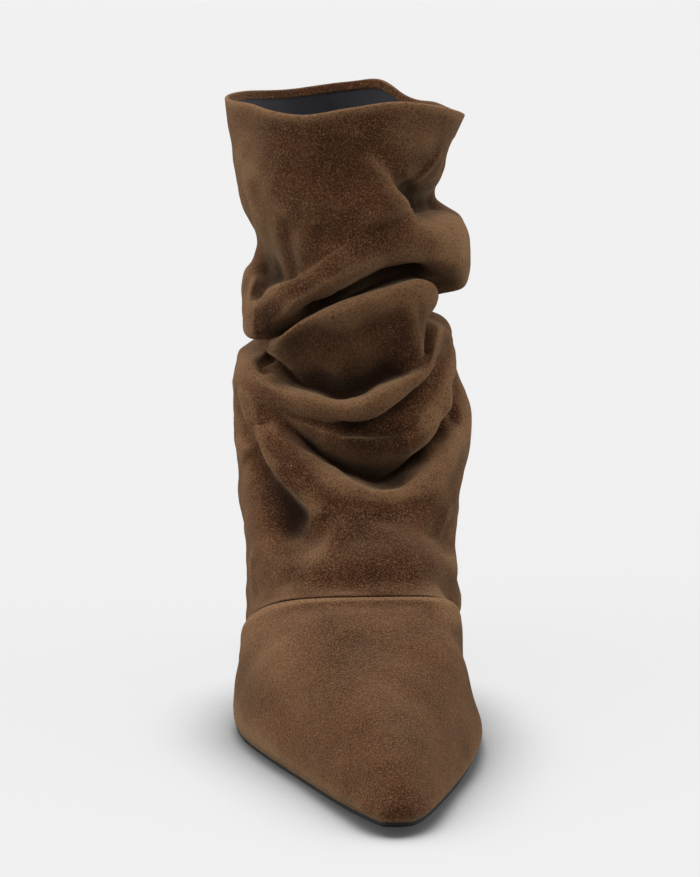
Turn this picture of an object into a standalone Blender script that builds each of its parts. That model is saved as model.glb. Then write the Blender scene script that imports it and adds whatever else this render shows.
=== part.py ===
"""A slouch boot for the right foot: pointed toe, gathered suede leg and a slim covered heel.

Metres, +Z up. The toe points along -Y, the inner side of the foot lies at +X, and the origin is on the floor
under the middle of the heel. The upper is two sewn pieces, the vamp over the toes and the shaft, which holds
the quarters, the heel cup and the gathered leg. Below them lie the insole, the outsole, the heel and its lift.
"""

import math

import bmesh
import bpy
import numpy as np

# Driving sizes
FOOT_LENGTH = 0.250          # toe tip to the back of the heel seat
HEEL_CENTRE = FOOT_LENGTH - 0.028    # toe tip to the middle of the heel, which is the origin
BALL_WIDTH = 0.085           # featherline across the ball
HEEL_HEIGHT = 0.070          # floor to the top of the outsole under the back of the heel
TOE_SPRING = 0.0040          # rise of the outsole's tip off the floor
SOLE_THICKNESS = 0.0024      # outsole
INSOLE_THICKNESS = 0.0024
WALL = 0.0015                # suede with its backing
THINNEST = 0.60              # share of the wall that is left in the sharpest folds
GAP = 0.0003                 # between two pieces that meet
VAMP_CROWN = 0.0525          # floor to the crown of the vamp at the seam
FEATHER_BULGE = 0.0030       # the upper stands this far outside its own featherline
FLAT_FROM, FLAT_TO = 0.066, 0.104    # the outsole's flat spot, from the toe tip
SEAT_FROM = FOOT_LENGTH - 0.014      # where the heel seat is level, from the toe tip
SEAM_TOP, SEAM_FOOT = 0.110, 0.146   # the vamp seam on the crown and at the featherline, from the toe tip
ANKLE_SHARE = np.array([0.75, 0.75, 0.45])    # a last line lies this far from the shaft's foot to the table's
ANKLE_LEAD = 0.6             # share by which that line carries on the slope of the vamp above the seam
SEAM_CORNER = 45.0           # heading, in degrees, at which the shaft leaves the seam for the featherline
LIFT_THICKNESS = 0.0050      # top lift under the heel
LEG_AXIS = FOOT_LENGTH - 0.055       # the leg's own axis, from the toe tip
LEG_REACH = 0.050            # reach of the leg from its axis, which the fold table is a share of
BOOT_HEIGHT = 0.2165         # floor to the collar, which the fold table is a share of
LEG_TURN = math.radians(3.0)  # the gathers are turned this far to the inner side of the foot

# Outline of the featherline: share of the foot length, and the outer and inner edge as shares of the ball width
OUTLINE = (
    # station, outer, inner
    (0.000, 0.061, 0.061),
    (0.004, 0.010, 0.113),
    (0.020, -0.019, 0.151),
    (0.060, -0.068, 0.199),
    (0.120, -0.139, 0.258),
    (0.180, -0.206, 0.315),
    (0.240, -0.276, 0.371),
    (0.300, -0.352, 0.418),
    (0.360, -0.425, 0.458),
    (0.400, -0.469, 0.478),
    (0.440, -0.506, 0.486),
    (0.480, -0.532, 0.472),
    (0.530, -0.526, 0.436),
    (0.620, -0.460, 0.345),
    (0.720, -0.375, 0.282),
    (0.800, -0.325, 0.280),
    (0.880, -0.306, 0.294),
    (0.950, -0.238, 0.234),
    (1.000, 0.000, 0.000),
)

# Sections of the vamp, from the toe to the seam: where the section lies between the two, the crown's height as a
# share of VAMP_CROWN, its shift to the inner side and the flare of its feet as shares of the ball width, and the
# fullness of the arch's outer and inner half, 2 being an ellipse
VAMP_SECTIONS = (
    # share, crown height, crown shift, flare, outer fullness, inner fullness
    (0.00, 0.200, 0.061, 0.000, 2.0, 2.0),
    (0.02, 0.260, 0.061, 0.000, 2.0, 2.0),
    (0.08, 0.350, 0.060, 0.000, 2.0, 2.0),
    (0.20, 0.470, 0.056, 0.000, 2.0, 2.1),
    (0.36, 0.585, 0.050, 0.004, 2.1, 2.2),
    (0.52, 0.680, 0.044, 0.014, 2.2, 2.4),
    (0.68, 0.775, 0.038, 0.032, 2.5, 2.9),
    (0.84, 0.880, 0.034, 0.048, 3.4, 4.4),
    (1.00, 1.000, 0.030, 0.050, 5.2, 7.2),
)

# Levels of the heel, from its foot to the seat: share of its height, how far its breast and its back lie ahead of
# the back of the seat, half its width, and the fullness of its corners
HEEL_SECTIONS = (
    # share, breast, back, half width, fullness
    (0.00, 0.0390, 0.0170, 0.0110, 2.6),
    (0.25, 0.0395, 0.0155, 0.0115, 2.6),
    (0.55, 0.0420, 0.0120, 0.0140, 2.6),
    (0.80, 0.0460, 0.0060, 0.0195, 2.5),
    (1.00, 0.0500, 0.0010, 0.0240, 2.4),
)

# The gathered leg. A heading is the compass direction round the leg's axis, 0 at the front and positive to the
# inner side. Each row is one line that runs round the leg, from the collar down, and gives its height in
# thousandths of BOOT_HEIGHT and its reach from the axis in thousandths of LEG_REACH at each heading.
HEADINGS = (-150, -120, -90, -70, -50, -42, -35, -20, 0, 20, 35, 50, 70, 90, 120, 150, 165, 180)
FOLD_HEIGHTS = (
    ("collar", 985, 993, 999, 1002, 1005, 1004, 1002, 999, 1011, 1020, 1012, 997, 980, 977, 977, 978, 1000, 994),
    ("cuff", 924, 932, 936, 938, 940, 939, 938, 935, 940, 945, 942, 930, 915, 915, 918, 918, 930, 928),
    ("leg", 840, 835, 830, 825, 825, 827, 830, 840, 865, 885, 890, 885, 880, 880, 870, 860, 855, 850),
    ("pocket", 770, 750, 735, 720, 712, 713, 718, 745, 800, 842, 838, 838, 834, 832, 820, 800, 792, 785),
    ("roll crest", 715, 705, 695, 694, 684, 696, 710, 736, 790, 826, 812, 806, 801, 795, 775, 750, 739, 730),
    ("roll lip", 660, 640, 627, 627, 621, 635, 652, 703, 746, 772, 763, 740, 693, 690, 690, 685, 681, 675),
    ("first cavity", 650, 622, 605, 603, 612, 620, 630, 660, 688, 714, 724, 702, 672, 665, 665, 665, 664, 662),
    ("second crest", 628, 610, 598, 596, 605, 612, 622, 660, 692, 718, 722, 688, 664, 655, 650, 645, 642, 638),
    ("bowl", 598, 590, 588, 587, 584, 582, 590, 612, 616, 649, 629, 645, 650, 649, 635, 615, 609, 605),
    ("second cavity", 570, 575, 580, 582, 573, 556, 540, 530, 519, 552, 580, 628, 636, 640, 615, 590, 583, 578),
    ("third crest", 545, 560, 565, 572, 565, 553, 542, 534, 523, 559, 578, 625, 615, 623, 595, 565, 556, 550),
    ("third lip", 510, 520, 515, 530, 524, 521, 518, 503, 497, 525, 561, 596, 600, 605, 570, 535, 523, 515),
    ("groove", 488, 495, 490, 508, 512, 503, 505, 490, 483, 510, 550, 580, 596, 597, 555, 515, 503, 495),
    ("fourth lip", 470, 475, 475, 487, 487, 489, 496, 478, 462, 458, 468, 510, 575, 585, 535, 495, 485, 478),
    ("fourth cavity", 455, 460, 468, 467, 470, 479, 484, 430, 392, 376, 405, 462, 545, 560, 515, 475, 466, 462),
    ("rim", 440, 448, 455, 448, 453, 463, 470, 432, 391, 376, 403, 440, 450, 475, 490, 460, 452, 446),
    ("edge", 420, 425, 430, 425, 430, 436, 432, 368, 348, 338, 350, 385, 395, 420, 450, 440, 435, 430),
    ("hollow", 400, 385, 350, 350, 388, 371, 349, 310, 318, 318, 290, 322, 330, 350, 400, 415, 414, 410),
    ("quarter", 375, 335, 270, 255, 250, 256, 262, 275, 287, 286, 262, 240, 240, 265, 340, 385, 394, 395),
)
FOLD_REACHES = (
    ("collar", 940, 920, 910, 920, 930, 968, 1000, 1020, 980, 1000, 1030, 980, 880, 760, 740, 840, 908, 960),
    ("cuff", 930, 900, 880, 890, 920, 958, 990, 1010, 980, 990, 980, 890, 750, 680, 720, 830, 892, 940),
    ("leg", 920, 870, 800, 800, 870, 915, 950, 980, 970, 980, 850, 800, 700, 660, 700, 820, 878, 920),
    ("pocket", 870, 760, 640, 600, 640, 690, 790, 920, 970, 980, 720, 680, 660, 620, 660, 790, 844, 880),
    ("roll crest", 980, 860, 760, 790, 930, 950, 960, 990, 990, 970, 960, 970, 880, 830, 820, 900, 939, 970),
    ("roll lip", 950, 840, 760, 820, 920, 938, 950, 990, 1000, 980, 980, 990, 890, 840, 800, 870, 909, 940),
    ("first cavity", 800, 700, 620, 640, 720, 740, 720, 700, 680, 710, 750, 720, 660, 600, 640, 740, 788, 820),
    ("second crest", 900, 740, 630, 640, 760, 849, 920, 970, 990, 990, 960, 880, 620, 550, 620, 780, 850, 900),
    ("bowl", 860, 740, 660, 660, 760, 780, 800, 830, 890, 930, 900, 700, 530, 500, 580, 740, 810, 860),
    ("second cavity", 780, 720, 680, 680, 680, 670, 660, 650, 660, 740, 860, 700, 620, 560, 600, 700, 746, 780),
    ("third crest", 920, 860, 820, 860, 920, 937, 950, 980, 1010, 1020, 970, 840, 760, 680, 700, 800, 855, 900),
    ("third lip", 940, 880, 860, 930, 945, 952, 960, 960, 990, 1010, 980, 840, 780, 720, 760, 860, 901, 930),
    ("groove", 840, 840, 850, 925, 945, 943, 940, 890, 890, 860, 850, 830, 780, 720, 740, 800, 824, 840),
    ("fourth lip", 920, 880, 850, 925, 945, 938, 920, 900, 950, 980, 1000, 940, 810, 740, 800, 880, 905, 920),
    ("fourth cavity", 840, 840, 850, 920, 942, 925, 905, 750, 700, 680, 720, 800, 800, 740, 760, 800, 817, 830),
    ("rim", 920, 870, 850, 915, 950, 968, 990, 1000, 1060, 1080, 1060, 1000, 940, 880, 860, 900, 918, 930),
    ("edge", 950, 860, 840, 890, 990, 995, 1000, 1060, 1130, 1140, 1100, 1000, 930, 860, 840, 920, 951, 970),
    ("hollow", 970, 850, 820, 860, 970, 1007, 1040, 1120, 1250, 1240, 1100, 990, 840, 790, 820, 960, 1002, 1020),
    ("quarter", 1000, 840, 790, 850, 980, 1083, 1180, 1360, 1500, 1460, 1280, 1000, 820, 750, 820, 980, 1039, 1070),
)

# Resolution of the solids
SEAM_COLUMNS, OTHER_COLUMNS, LEG_STEPS = 20, 30, 2
VAMP_ROWS = 18
SOLE_ROWS, SOLE_COLUMNS = 49, 7
HEEL_ROWS, HEEL_POINTS, SEAT_RINGS = 9, 28, 5


def hermite(knots, values, at, period=None):
    """Smooth curve through the values at the knots, with each slope the mean of its neighbours' chords."""
    knots, values, at = (np.asarray(a, float) for a in (knots, values, at))
    if period:
        knots = np.concatenate([knots[-2:] - period, knots, knots[:2] + period])
        values = np.concatenate([values[-2:], values, values[:2]])
        at = (at - knots[2]) % period + knots[2]
    slope = np.gradient(values, knots, axis=0)
    i = np.clip(np.searchsorted(knots, at, side="right") - 1, 0, len(knots) - 2)
    h = (knots[i + 1] - knots[i])
    t = (at - knots[i]) / h
    if values.ndim > 1:
        h, t = (a.reshape(-1, *[1] * (values.ndim - 1)) for a in (h, t))
    return (
        (1 + 2 * t) * (1 - t) ** 2 * values[i]
        + t * (1 - t) ** 2 * h * slope[i]
        + t * t * (3 - 2 * t) * values[i + 1]
        + t * t * (t - 1) * h * slope[i + 1]
    )


def feather_edges(station):
    """The outer and inner x of the featherline at each station, given from the toe tip."""
    table = np.array(OUTLINE)
    turn = np.arccos(1 - 2 * np.clip(table[:, 0], 0, 1))
    at = np.arccos(1 - 2 * np.clip(np.asarray(station) / FOOT_LENGTH, 0, 1))
    return (BALL_WIDTH * hermite(turn, table[:, k], at) for k in (1, 2))


def ease(t):
    """0 below 0, 1 above 1 and a smooth step between."""
    t = np.clip(t, 0, 1)
    return t * t * (3 - 2 * t)


def tread_height(station):
    """Height of the outsole's underside: toe spring, the flat spot and the climb to the heel seat."""
    station = np.asarray(station, float)
    spring = TOE_SPRING * np.clip(1 - station / FLAT_FROM, 0, 1) ** 2
    climb = (HEEL_HEIGHT - SOLE_THICKNESS) * ease((station - FLAT_TO) / (SEAT_FROM - FLAT_TO))
    return spring + climb


def feather_height(station):
    """Height at which the upper starts, on top of the outsole."""
    return tread_height(station) + SOLE_THICKNESS + GAP


def to_frame(x, station, z):
    """Points of the boot's own frame from x, the distance behind the toe tip and z."""
    x, station, z = np.broadcast_arrays(x, station, z)
    return np.stack([x, station - HEEL_CENTRE, z], axis=-1)


def vamp_arch(share):
    """One section of the vamp as 241 points, from its outer featherline over the crown to the inner one.

    A superellipse stands on the two points of the featherline. It leans back at its feet as the seam is neared,
    and swells by FEATHER_BULGE a little above them.
    """
    table = np.array(VAMP_SECTIONS)
    crown, shift, flare, outer_full, inner_full = (
        hermite(np.sqrt(table[:, 0]), table[:, k], [math.sqrt(share)])[0] for k in (1, 2, 3, 4, 5)
    )
    top, foot = share * SEAM_TOP, share ** 1.15 * SEAM_FOOT
    turn = np.linspace(-1, 1, 241) * math.pi / 2
    power = 2 / np.where(turn < 0, outer_full, inner_full)
    rise = np.clip(np.cos(turn), 0, 1) ** power
    spread = np.abs(np.sin(turn)) ** power
    station = foot + (top - foot) * rise
    outer, inner = feather_edges([foot])
    swell = FEATHER_BULGE * min(1.0, share / 0.1) * (rise / 0.2) * np.exp(1 - rise / 0.2) * (1 - rise)
    middle = BALL_WIDTH * shift
    tuck = BALL_WIDTH * flare * (1 - np.exp(-((rise / 0.3) ** 2)))
    edge = np.where(turn < 0, middle - outer, inner - middle) + swell - tuck
    base = feather_height(foot)
    return to_frame(middle + np.sign(turn) * edge * spread, station, base + (VAMP_CROWN * crown - base) * rise)


def vamp_row(share, across):
    """Points of one section at even lengths along it: across is -1 at the outer foot, 0 on the crown, 1 inside."""
    arch = vamp_arch(share)
    length = np.append(0, np.cumsum(np.linalg.norm(np.diff(arch, axis=0), axis=-1)))
    middle = len(arch) // 2
    half = np.where(np.arange(len(arch)) < middle, length[middle], length[-1] - length[middle])
    place = (length - length[middle]) / half
    return np.stack([np.interp(across, place, arch[:, k]) for k in range(3)], axis=-1)


def vamp_surface(rows, columns):
    """The vamp's outer face as a grid of sections, from the toe tip to the seam."""
    shares = np.linspace(0, 1, rows) ** 1.6
    return np.array([vamp_row(share, np.linspace(-1, 1, columns)) for share in shares])


def shaft_foot(heading):
    """Lowest line of the shaft: the vamp seam in front and the featherline behind, at each heading in degrees."""
    heading = (np.asarray(heading, float) + 180) % 360 - 180
    seam = vamp_row(1.0, np.clip(heading / SEAM_CORNER, -1, 1))
    away = np.clip((np.abs(heading) - SEAM_CORNER) / (180 - SEAM_CORNER), 0, 1)
    station = SEAM_FOOT + (FOOT_LENGTH - SEAM_FOOT) * np.sin(away * math.pi / 2)
    outer, inner = feather_edges(station)
    rim = to_frame(np.where(heading < 0, outer, inner), station, feather_height(station))
    return np.where((np.abs(heading) <= SEAM_CORNER)[:, None], seam, rim)


def leg_lines(heading):
    """The lines that the shaft passes through, from the collar down, as points (line, heading, xyz)."""
    heading = np.asarray(heading, float)
    heights = np.array([row[1:] for row in FOLD_HEIGHTS]) / 1000
    reaches = np.array([row[1:] for row in FOLD_REACHES]) / 1000
    z = BOOT_HEIGHT * hermite(HEADINGS, heights.T, heading, period=360).T
    reach = LEG_REACH * hermite(HEADINGS, reaches.T, heading, period=360).T
    turn = np.radians(heading) - LEG_TURN
    lines = to_frame(reach * np.sin(turn), LEG_AXIS - reach * np.cos(turn), z)
    foot = shaft_foot(heading)
    climb = ANKLE_SHARE * (lines[-1] - foot)
    turned = (heading + 180) % 360 - 180
    slope = foot - vamp_row(0.94, np.clip(turned / SEAM_CORNER, -1, 1))
    slope /= np.linalg.norm(slope, axis=-1, keepdims=True)
    lead = ANKLE_LEAD * ease((SEAM_CORNER - np.abs(turned)) / 20)[:, None]
    ankle = foot + climb * (1 - lead) + slope * np.linalg.norm(climb, axis=-1, keepdims=True) * lead
    return np.concatenate([lines, ankle[None], foot[None]])


def through_lines(lines, steps):
    """Rows of a smooth surface through the lines, with the given number of steps from each to the next.

    The curve's speed follows the square root of each stretch's length, so a short one beside a long one is
    joined without overshoot.
    """
    speed = np.maximum(np.linalg.norm(np.diff(lines, axis=0), axis=-1), 1e-6)[..., None] ** 0.5
    chord = np.diff(lines, axis=0) / speed
    slope = np.empty_like(lines)
    slope[1:-1] = (chord[:-1] * speed[1:] + chord[1:] * speed[:-1]) / (speed[1:] + speed[:-1])
    slope[0], slope[-1] = chord[0], chord[-1]
    rows = []
    for k in range(len(lines) - 1):
        for t in np.arange(steps) / steps:
            rows.append(
                (1 + 2 * t) * (1 - t) ** 2 * lines[k]
                + t * (1 - t) ** 2 * speed[k] * slope[k]
                + t * t * (3 - 2 * t) * lines[k + 1]
                + t * t * (t - 1) * speed[k] * slope[k + 1]
            )
    rows.append(lines[-1])
    return np.array(rows)


def leg_headings(seam_columns, other_columns):
    """Headings of the shaft's columns: so many steps across the seam and so many round the back."""
    front = np.linspace(-SEAM_CORNER, SEAM_CORNER, seam_columns + 1)
    rest = np.linspace(SEAM_CORNER, 360 - SEAM_CORNER, other_columns + 1)[1:-1]
    return np.concatenate([front, rest])


def shaft_surface(heading, steps):
    """The shaft's outer face as a grid of rows from the collar down, each a closed ring."""
    return through_lines(leg_lines(heading), steps)


def inward(grid, ring):
    """Vectors from each point of a face, whose rows run down it, to the inside of the boot.

    They are the face's normals averaged with their neighbours', so they are a little under unit length where the
    face bends sharply and a full wall would run into itself.
    """
    down = np.gradient(grid, axis=0)
    if ring:
        along = (np.roll(grid, -1, axis=1) - np.roll(grid, 1, axis=1)) / 2
    else:
        along = np.gradient(grid, axis=1)
    normal = np.cross(along, down)
    normal /= np.maximum(np.linalg.norm(normal, axis=-1, keepdims=True), 1e-12)
    for _ in range(3):
        if ring:
            beside = np.roll(normal, 1, axis=1) + np.roll(normal, -1, axis=1)
        else:
            wide = np.pad(normal, ((0, 0), (1, 1), (0, 0)), mode="edge")
            beside = wide[:, :-2] + wide[:, 2:]
        tall = np.pad(normal, ((1, 1), (0, 0), (0, 0)), mode="edge")
        normal = (4 * normal + beside + tall[:-2] + tall[2:]) / 8
    length = np.linalg.norm(normal, axis=-1, keepdims=True)
    return normal * np.maximum(length, THINNEST) / length


def level(vectors):
    """The vectors laid flat and made unit length again."""
    flat = vectors * (1, 1, 0)
    return flat / np.maximum(np.linalg.norm(flat, axis=-1, keepdims=True), 1e-9)


def vamp_inward(grid):
    """Directions into the vamp: straight back at the tip, and level along the featherline."""
    normal = inward(grid[:0:-1], ring=False)[::-1]
    tip = np.stack([(0, 1, -0.8 * (1 - abs(across))) for across in np.linspace(-1, 1, grid.shape[1])])
    normal = np.concatenate([tip[None] / np.linalg.norm(tip, axis=-1)[None, :, None], normal])
    normal[:, 0], normal[:, -1] = level(normal[:, 0]), level(normal[:, -1])
    return normal


def vamp_back(grid):
    """Unit vectors along the vamp from its seam towards the toe."""
    run = grid[-2] - grid[-1]
    return run / np.linalg.norm(run, axis=-1, keepdims=True)


def shaft_inward(grid, seam):
    """Directions into the shaft: level at the collar and the featherline, and the given ones along the seam."""
    normal = inward(grid, ring=True)
    normal[0], normal[-1] = level(normal[0]), level(normal[-1])
    normal[-1, : len(seam)] = seam
    return normal


def make_material(name, colour, roughness):
    """A Principled BSDF material, with the viewport colour to match."""
    material = bpy.data.materials.new(name)
    material.use_nodes = True
    shader = material.node_tree.nodes["Principled BSDF"]
    shader.inputs["Base Color"].default_value = (*colour, 1.0)
    shader.inputs["Roughness"].default_value = roughness
    material.diffuse_color = (*colour, 1.0)
    return material


def add_object(name, points, faces, material):
    """An object from points and quads, with points that coincide made one and its faces turned out."""
    mesh = bpy.data.meshes.new(name)
    mesh.from_pydata(points.reshape(-1, 3).tolist(), [], faces.tolist())
    shape = bmesh.new()
    shape.from_mesh(mesh)
    bmesh.ops.remove_doubles(shape, verts=shape.verts, dist=1e-5)
    bmesh.ops.recalc_face_normals(shape, faces=shape.faces)
    if shape.calc_volume(signed=True) < 0:
        bmesh.ops.reverse_faces(shape, faces=shape.faces)
    shape.to_mesh(mesh)
    shape.free()
    mesh.materials.append(material)
    made = bpy.data.objects.new(name, mesh)
    bpy.context.scene.collection.objects.link(made)
    return made


def quads(rows, columns, ring, start=0):
    """Quads over a grid whose points are numbered row by row from start."""
    row, column = np.meshgrid(np.arange(rows - 1), np.arange(columns - (not ring)), indexing="ij")
    here, beside = row * columns + column, row * columns + (column + 1) % columns
    return start + np.stack([here, beside, beside + columns, here + columns], axis=-1).reshape(-1, 4)


def strips(first, second, ring):
    """Quads between two lines of point numbers."""
    if ring:
        first, second = np.append(first, first[0]), np.append(second, second[0])
    return np.stack([first[:-1], first[1:], second[1:], second[:-1]], axis=-1)


def add_shell(name, outer, direction, ring, material):
    """A wall of even thickness behind a grid of points, closed along every edge."""
    rows, columns = outer.shape[:2]
    number = np.arange(rows * columns).reshape(rows, columns)
    inner = number + rows * columns
    faces = [quads(rows, columns, ring), quads(rows, columns, ring, rows * columns)[:, ::-1]]
    faces += [strips(number[-1], inner[-1], ring)]
    if ring:
        faces += [strips(inner[0], number[0], ring)]
    else:
        faces += [strips(number[:, 0], inner[:, 0], False), strips(inner[:, -1], number[:, -1], False)]
    points = np.stack([outer, outer + WALL * direction])
    return add_object(name, points, np.concatenate(faces), material)


def outline(inset):
    """Pairs of points on the two sides of the featherline moved in by inset: (side, row, (x, station))."""
    levels = FOOT_LENGTH * (1 - np.cos(np.linspace(0, math.pi, SOLE_ROWS))) / 2
    marks = np.array([FLAT_FROM, FLAT_TO])
    levels[np.abs(levels[:, None] - marks).argmin(axis=0)] = marks
    sides = np.stack([np.stack([edge, levels], axis=-1) for edge in feather_edges(levels)])
    run = np.gradient(sides, axis=1)
    run /= np.linalg.norm(run, axis=-1, keepdims=True)
    run[:, 0], run[:, -1] = ((-1, 0), (1, 0)), ((1, 0), (-1, 0))
    across = np.stack([run[..., 1], -run[..., 0]], axis=-1) * np.array([1, -1])[:, None, None]
    return sides + inset * across


def add_plate(name, inset, underside, thickness, material):
    """A plate on the foot's outline, whose two faces follow the height of the sole."""
    sides = outline(inset)
    share = np.linspace(0, 1, SOLE_COLUMNS)[:, None, None]
    flat = (sides[0] * (1 - share) + sides[1] * share).transpose(1, 0, 2)
    below = to_frame(flat[..., 0], flat[..., 1], underside(flat[..., 1]))
    above = below + (0, 0, thickness)
    rows, columns = below.shape[:2]
    low = np.arange(rows * columns).reshape(rows, columns)
    high = low + rows * columns
    faces = [quads(rows, columns, False), quads(rows, columns, False, rows * columns)[:, ::-1]]
    faces += [strips(low[:, 0], high[:, 0], False), strips(high[:, -1], low[:, -1], False)]
    return add_object(name, np.stack([below, above]), np.concatenate(faces), material)


def heel_ring(share):
    """One level of the heel, from its foot at 0 to the seat at 1, as x and station round a D shape."""
    turn = np.linspace(0, 2 * math.pi, HEEL_POINTS, endpoint=False)
    table = np.array(HEEL_SECTIONS)
    breast, back, half_width, full = (hermite(table[:, 0], table[:, k], [share])[0] for k in (1, 2, 3, 4))
    middle, half_length = FOOT_LENGTH - (breast + back) / 2, (breast - back) / 2
    round_out = np.sign(np.sin(turn)) * np.abs(np.sin(turn)) ** (2 / full)
    round_back = np.sign(np.cos(turn)) * np.abs(np.cos(turn)) ** (2 / full)
    return half_width * round_out, middle + half_length * round_back


def add_heel(name, material):
    """The heel block, whose top follows the underside of the outsole."""
    foot = LIFT_THICKNESS + GAP
    rows = []
    for share in np.linspace(0, 1, HEEL_ROWS):
        x, station = heel_ring(share)
        seat = tread_height(station) - GAP
        rows.append(to_frame(x, station, foot + (seat - foot) * share))
    caps = []
    for scale in np.linspace(1, 0, SEAT_RINGS)[1:]:
        x, station = heel_ring(1.0)
        station = station.mean() + (station - station.mean()) * scale
        caps.append(to_frame(x * scale, station, tread_height(station) - GAP))
    centre = rows[0].mean(axis=0) + 0 * rows[0]
    grid = np.array([centre, *rows, *caps])
    return add_object(name, grid, quads(*grid.shape[:2], True), material)


def add_lift(name, material):
    """The top lift under the heel."""
    x, station = heel_ring(0.0)
    low, high = to_frame(x, station, 0.0), to_frame(x, station, LIFT_THICKNESS)
    grid = np.array([low.mean(axis=0) + 0 * low, low, high, high.mean(axis=0) + 0 * high])
    return add_object(name, grid, quads(*grid.shape[:2], True), material)


def build():
    """Clears the scene and makes the six pieces of the boot."""
    for old in list(bpy.data.objects):
        bpy.data.objects.remove(old)
    suede = make_material("brown suede", (0.155, 0.085, 0.040), 0.95)
    board = make_material("insole cloth", (0.040, 0.046, 0.062), 0.90)
    rubber = make_material("black rubber", (0.012, 0.012, 0.013), 0.55)
    vamp = vamp_surface(VAMP_ROWS, SEAM_COLUMNS + 1)
    into_vamp = vamp_inward(vamp)
    vamp[-1] += GAP * vamp_back(vamp)
    shaft = shaft_surface(leg_headings(SEAM_COLUMNS, OTHER_COLUMNS), LEG_STEPS)
    add_shell("shaft", shaft, shaft_inward(shaft, into_vamp[-1]), True, suede)
    add_shell("vamp", vamp, into_vamp, False, suede)
    add_plate("insole", WALL + 3 * GAP, feather_height, INSOLE_THICKNESS, board)
    add_plate("outsole", 0.0, tread_height, SOLE_THICKNESS, rubber)
    add_heel("heel", suede)
    add_lift("top_lift", rubber)


if __name__ == "__main__":
    build()
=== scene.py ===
"""Looks of a slouch boot for the right foot: napped suede in soft gathers, a cloth lining and a thin black sole.

Metres, +Z up, toe along -Y, inner side of the foot at +X, the origin on the floor under the heel. Every shape is
worked out from the same named sizes and fold table as the solids, on finer grids, and then creased.
"""

import logging
import math
from dataclasses import dataclass, field
from enum import Enum

import bmesh
import bpy
import numpy as np
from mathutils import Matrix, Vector

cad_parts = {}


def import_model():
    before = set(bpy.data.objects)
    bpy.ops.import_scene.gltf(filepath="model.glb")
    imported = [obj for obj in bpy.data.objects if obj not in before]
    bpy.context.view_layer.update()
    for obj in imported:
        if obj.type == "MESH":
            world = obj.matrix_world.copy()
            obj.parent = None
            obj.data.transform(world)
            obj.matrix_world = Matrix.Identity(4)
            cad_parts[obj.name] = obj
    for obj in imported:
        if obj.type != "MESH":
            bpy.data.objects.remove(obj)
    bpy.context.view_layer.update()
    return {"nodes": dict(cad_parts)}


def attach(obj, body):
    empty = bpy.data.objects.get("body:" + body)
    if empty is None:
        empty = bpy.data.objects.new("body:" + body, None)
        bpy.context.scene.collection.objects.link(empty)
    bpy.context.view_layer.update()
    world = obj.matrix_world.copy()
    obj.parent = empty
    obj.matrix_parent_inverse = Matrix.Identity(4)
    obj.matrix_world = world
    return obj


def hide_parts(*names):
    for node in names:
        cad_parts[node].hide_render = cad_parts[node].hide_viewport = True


LOG = logging.getLogger("slouch_boot")
MM = 0.001
Colour = tuple[float, float, float]


# Sizes and tables

FOOT_LENGTH = 0.250          # toe tip to the back of the heel seat
HEEL_CENTRE = FOOT_LENGTH - 0.028    # toe tip to the middle of the heel, which is the origin
BALL_WIDTH = 0.085           # featherline across the ball
HEEL_HEIGHT = 0.070          # floor to the top of the outsole under the back of the heel
TOE_SPRING = 0.0040          # rise of the outsole's tip off the floor
SOLE_THICKNESS = 0.0024      # outsole
GAP = 0.0003                 # between two pieces that meet
VAMP_CROWN = 0.0525          # floor to the crown of the vamp at the seam
FEATHER_BULGE = 0.0030       # the upper stands this far outside its own featherline
SOLE_COVER = 0.9 * MM        # the suede's turned foot hangs this far over the outsole's edge
FLAT_FROM, FLAT_TO = 0.066, 0.104    # the outsole's flat spot, from the toe tip
SEAT_FROM = FOOT_LENGTH - 0.014      # where the heel seat is level, from the toe tip
SEAM_TOP, SEAM_FOOT = 0.110, 0.146   # the vamp seam on the crown and at the featherline, from the toe tip
SEAM_SLACK = (0.0046, 0.0066)        # the leather stands this much wider at the seam, at its outer and inner side
ANKLE_SHARE = np.array([0.75, 0.75, 0.45])    # a last line lies this far from the shaft's foot to the table's
ANKLE_LEAD = 0.3             # share by which that line carries on the slope of the vamp above the seam
LEAD_FADE = 20.0             # degrees before the seam's corner over which it stops doing so
SLOPE_FROM = 0.94            # section of the vamp from which that slope is taken
SEAM_CORNER = 45.0           # heading, in degrees, at which the shaft leaves the seam for the featherline
LIFT_THICKNESS = 0.0050      # top lift under the heel
LEG_AXIS = FOOT_LENGTH - 0.055       # the leg's own axis, from the toe tip
LEG_REACH = 0.050            # reach of the leg from its axis, which the fold table is a share of
BOOT_HEIGHT = 0.2165         # floor to the collar, which the fold table is a share of
LEG_TURN = math.radians(3.0)  # the gathers are turned this far to the inner side of the foot

# Outline of the featherline: share of the foot length, and the outer and inner edge as shares of the ball width
OUTLINE = (
    # station, outer, inner
    (0.000, 0.061, 0.061),
    (0.004, 0.010, 0.113),
    (0.020, -0.019, 0.151),
    (0.060, -0.068, 0.199),
    (0.120, -0.139, 0.258),
    (0.180, -0.206, 0.315),
    (0.240, -0.276, 0.371),
    (0.300, -0.352, 0.418),
    (0.360, -0.425, 0.458),
    (0.400, -0.469, 0.478),
    (0.440, -0.506, 0.486),
    (0.480, -0.532, 0.472),
    (0.530, -0.526, 0.436),
    (0.620, -0.460, 0.345),
    (0.720, -0.375, 0.282),
    (0.800, -0.325, 0.280),
    (0.880, -0.306, 0.294),
    (0.950, -0.238, 0.234),
    (1.000, 0.000, 0.000),
)

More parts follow.
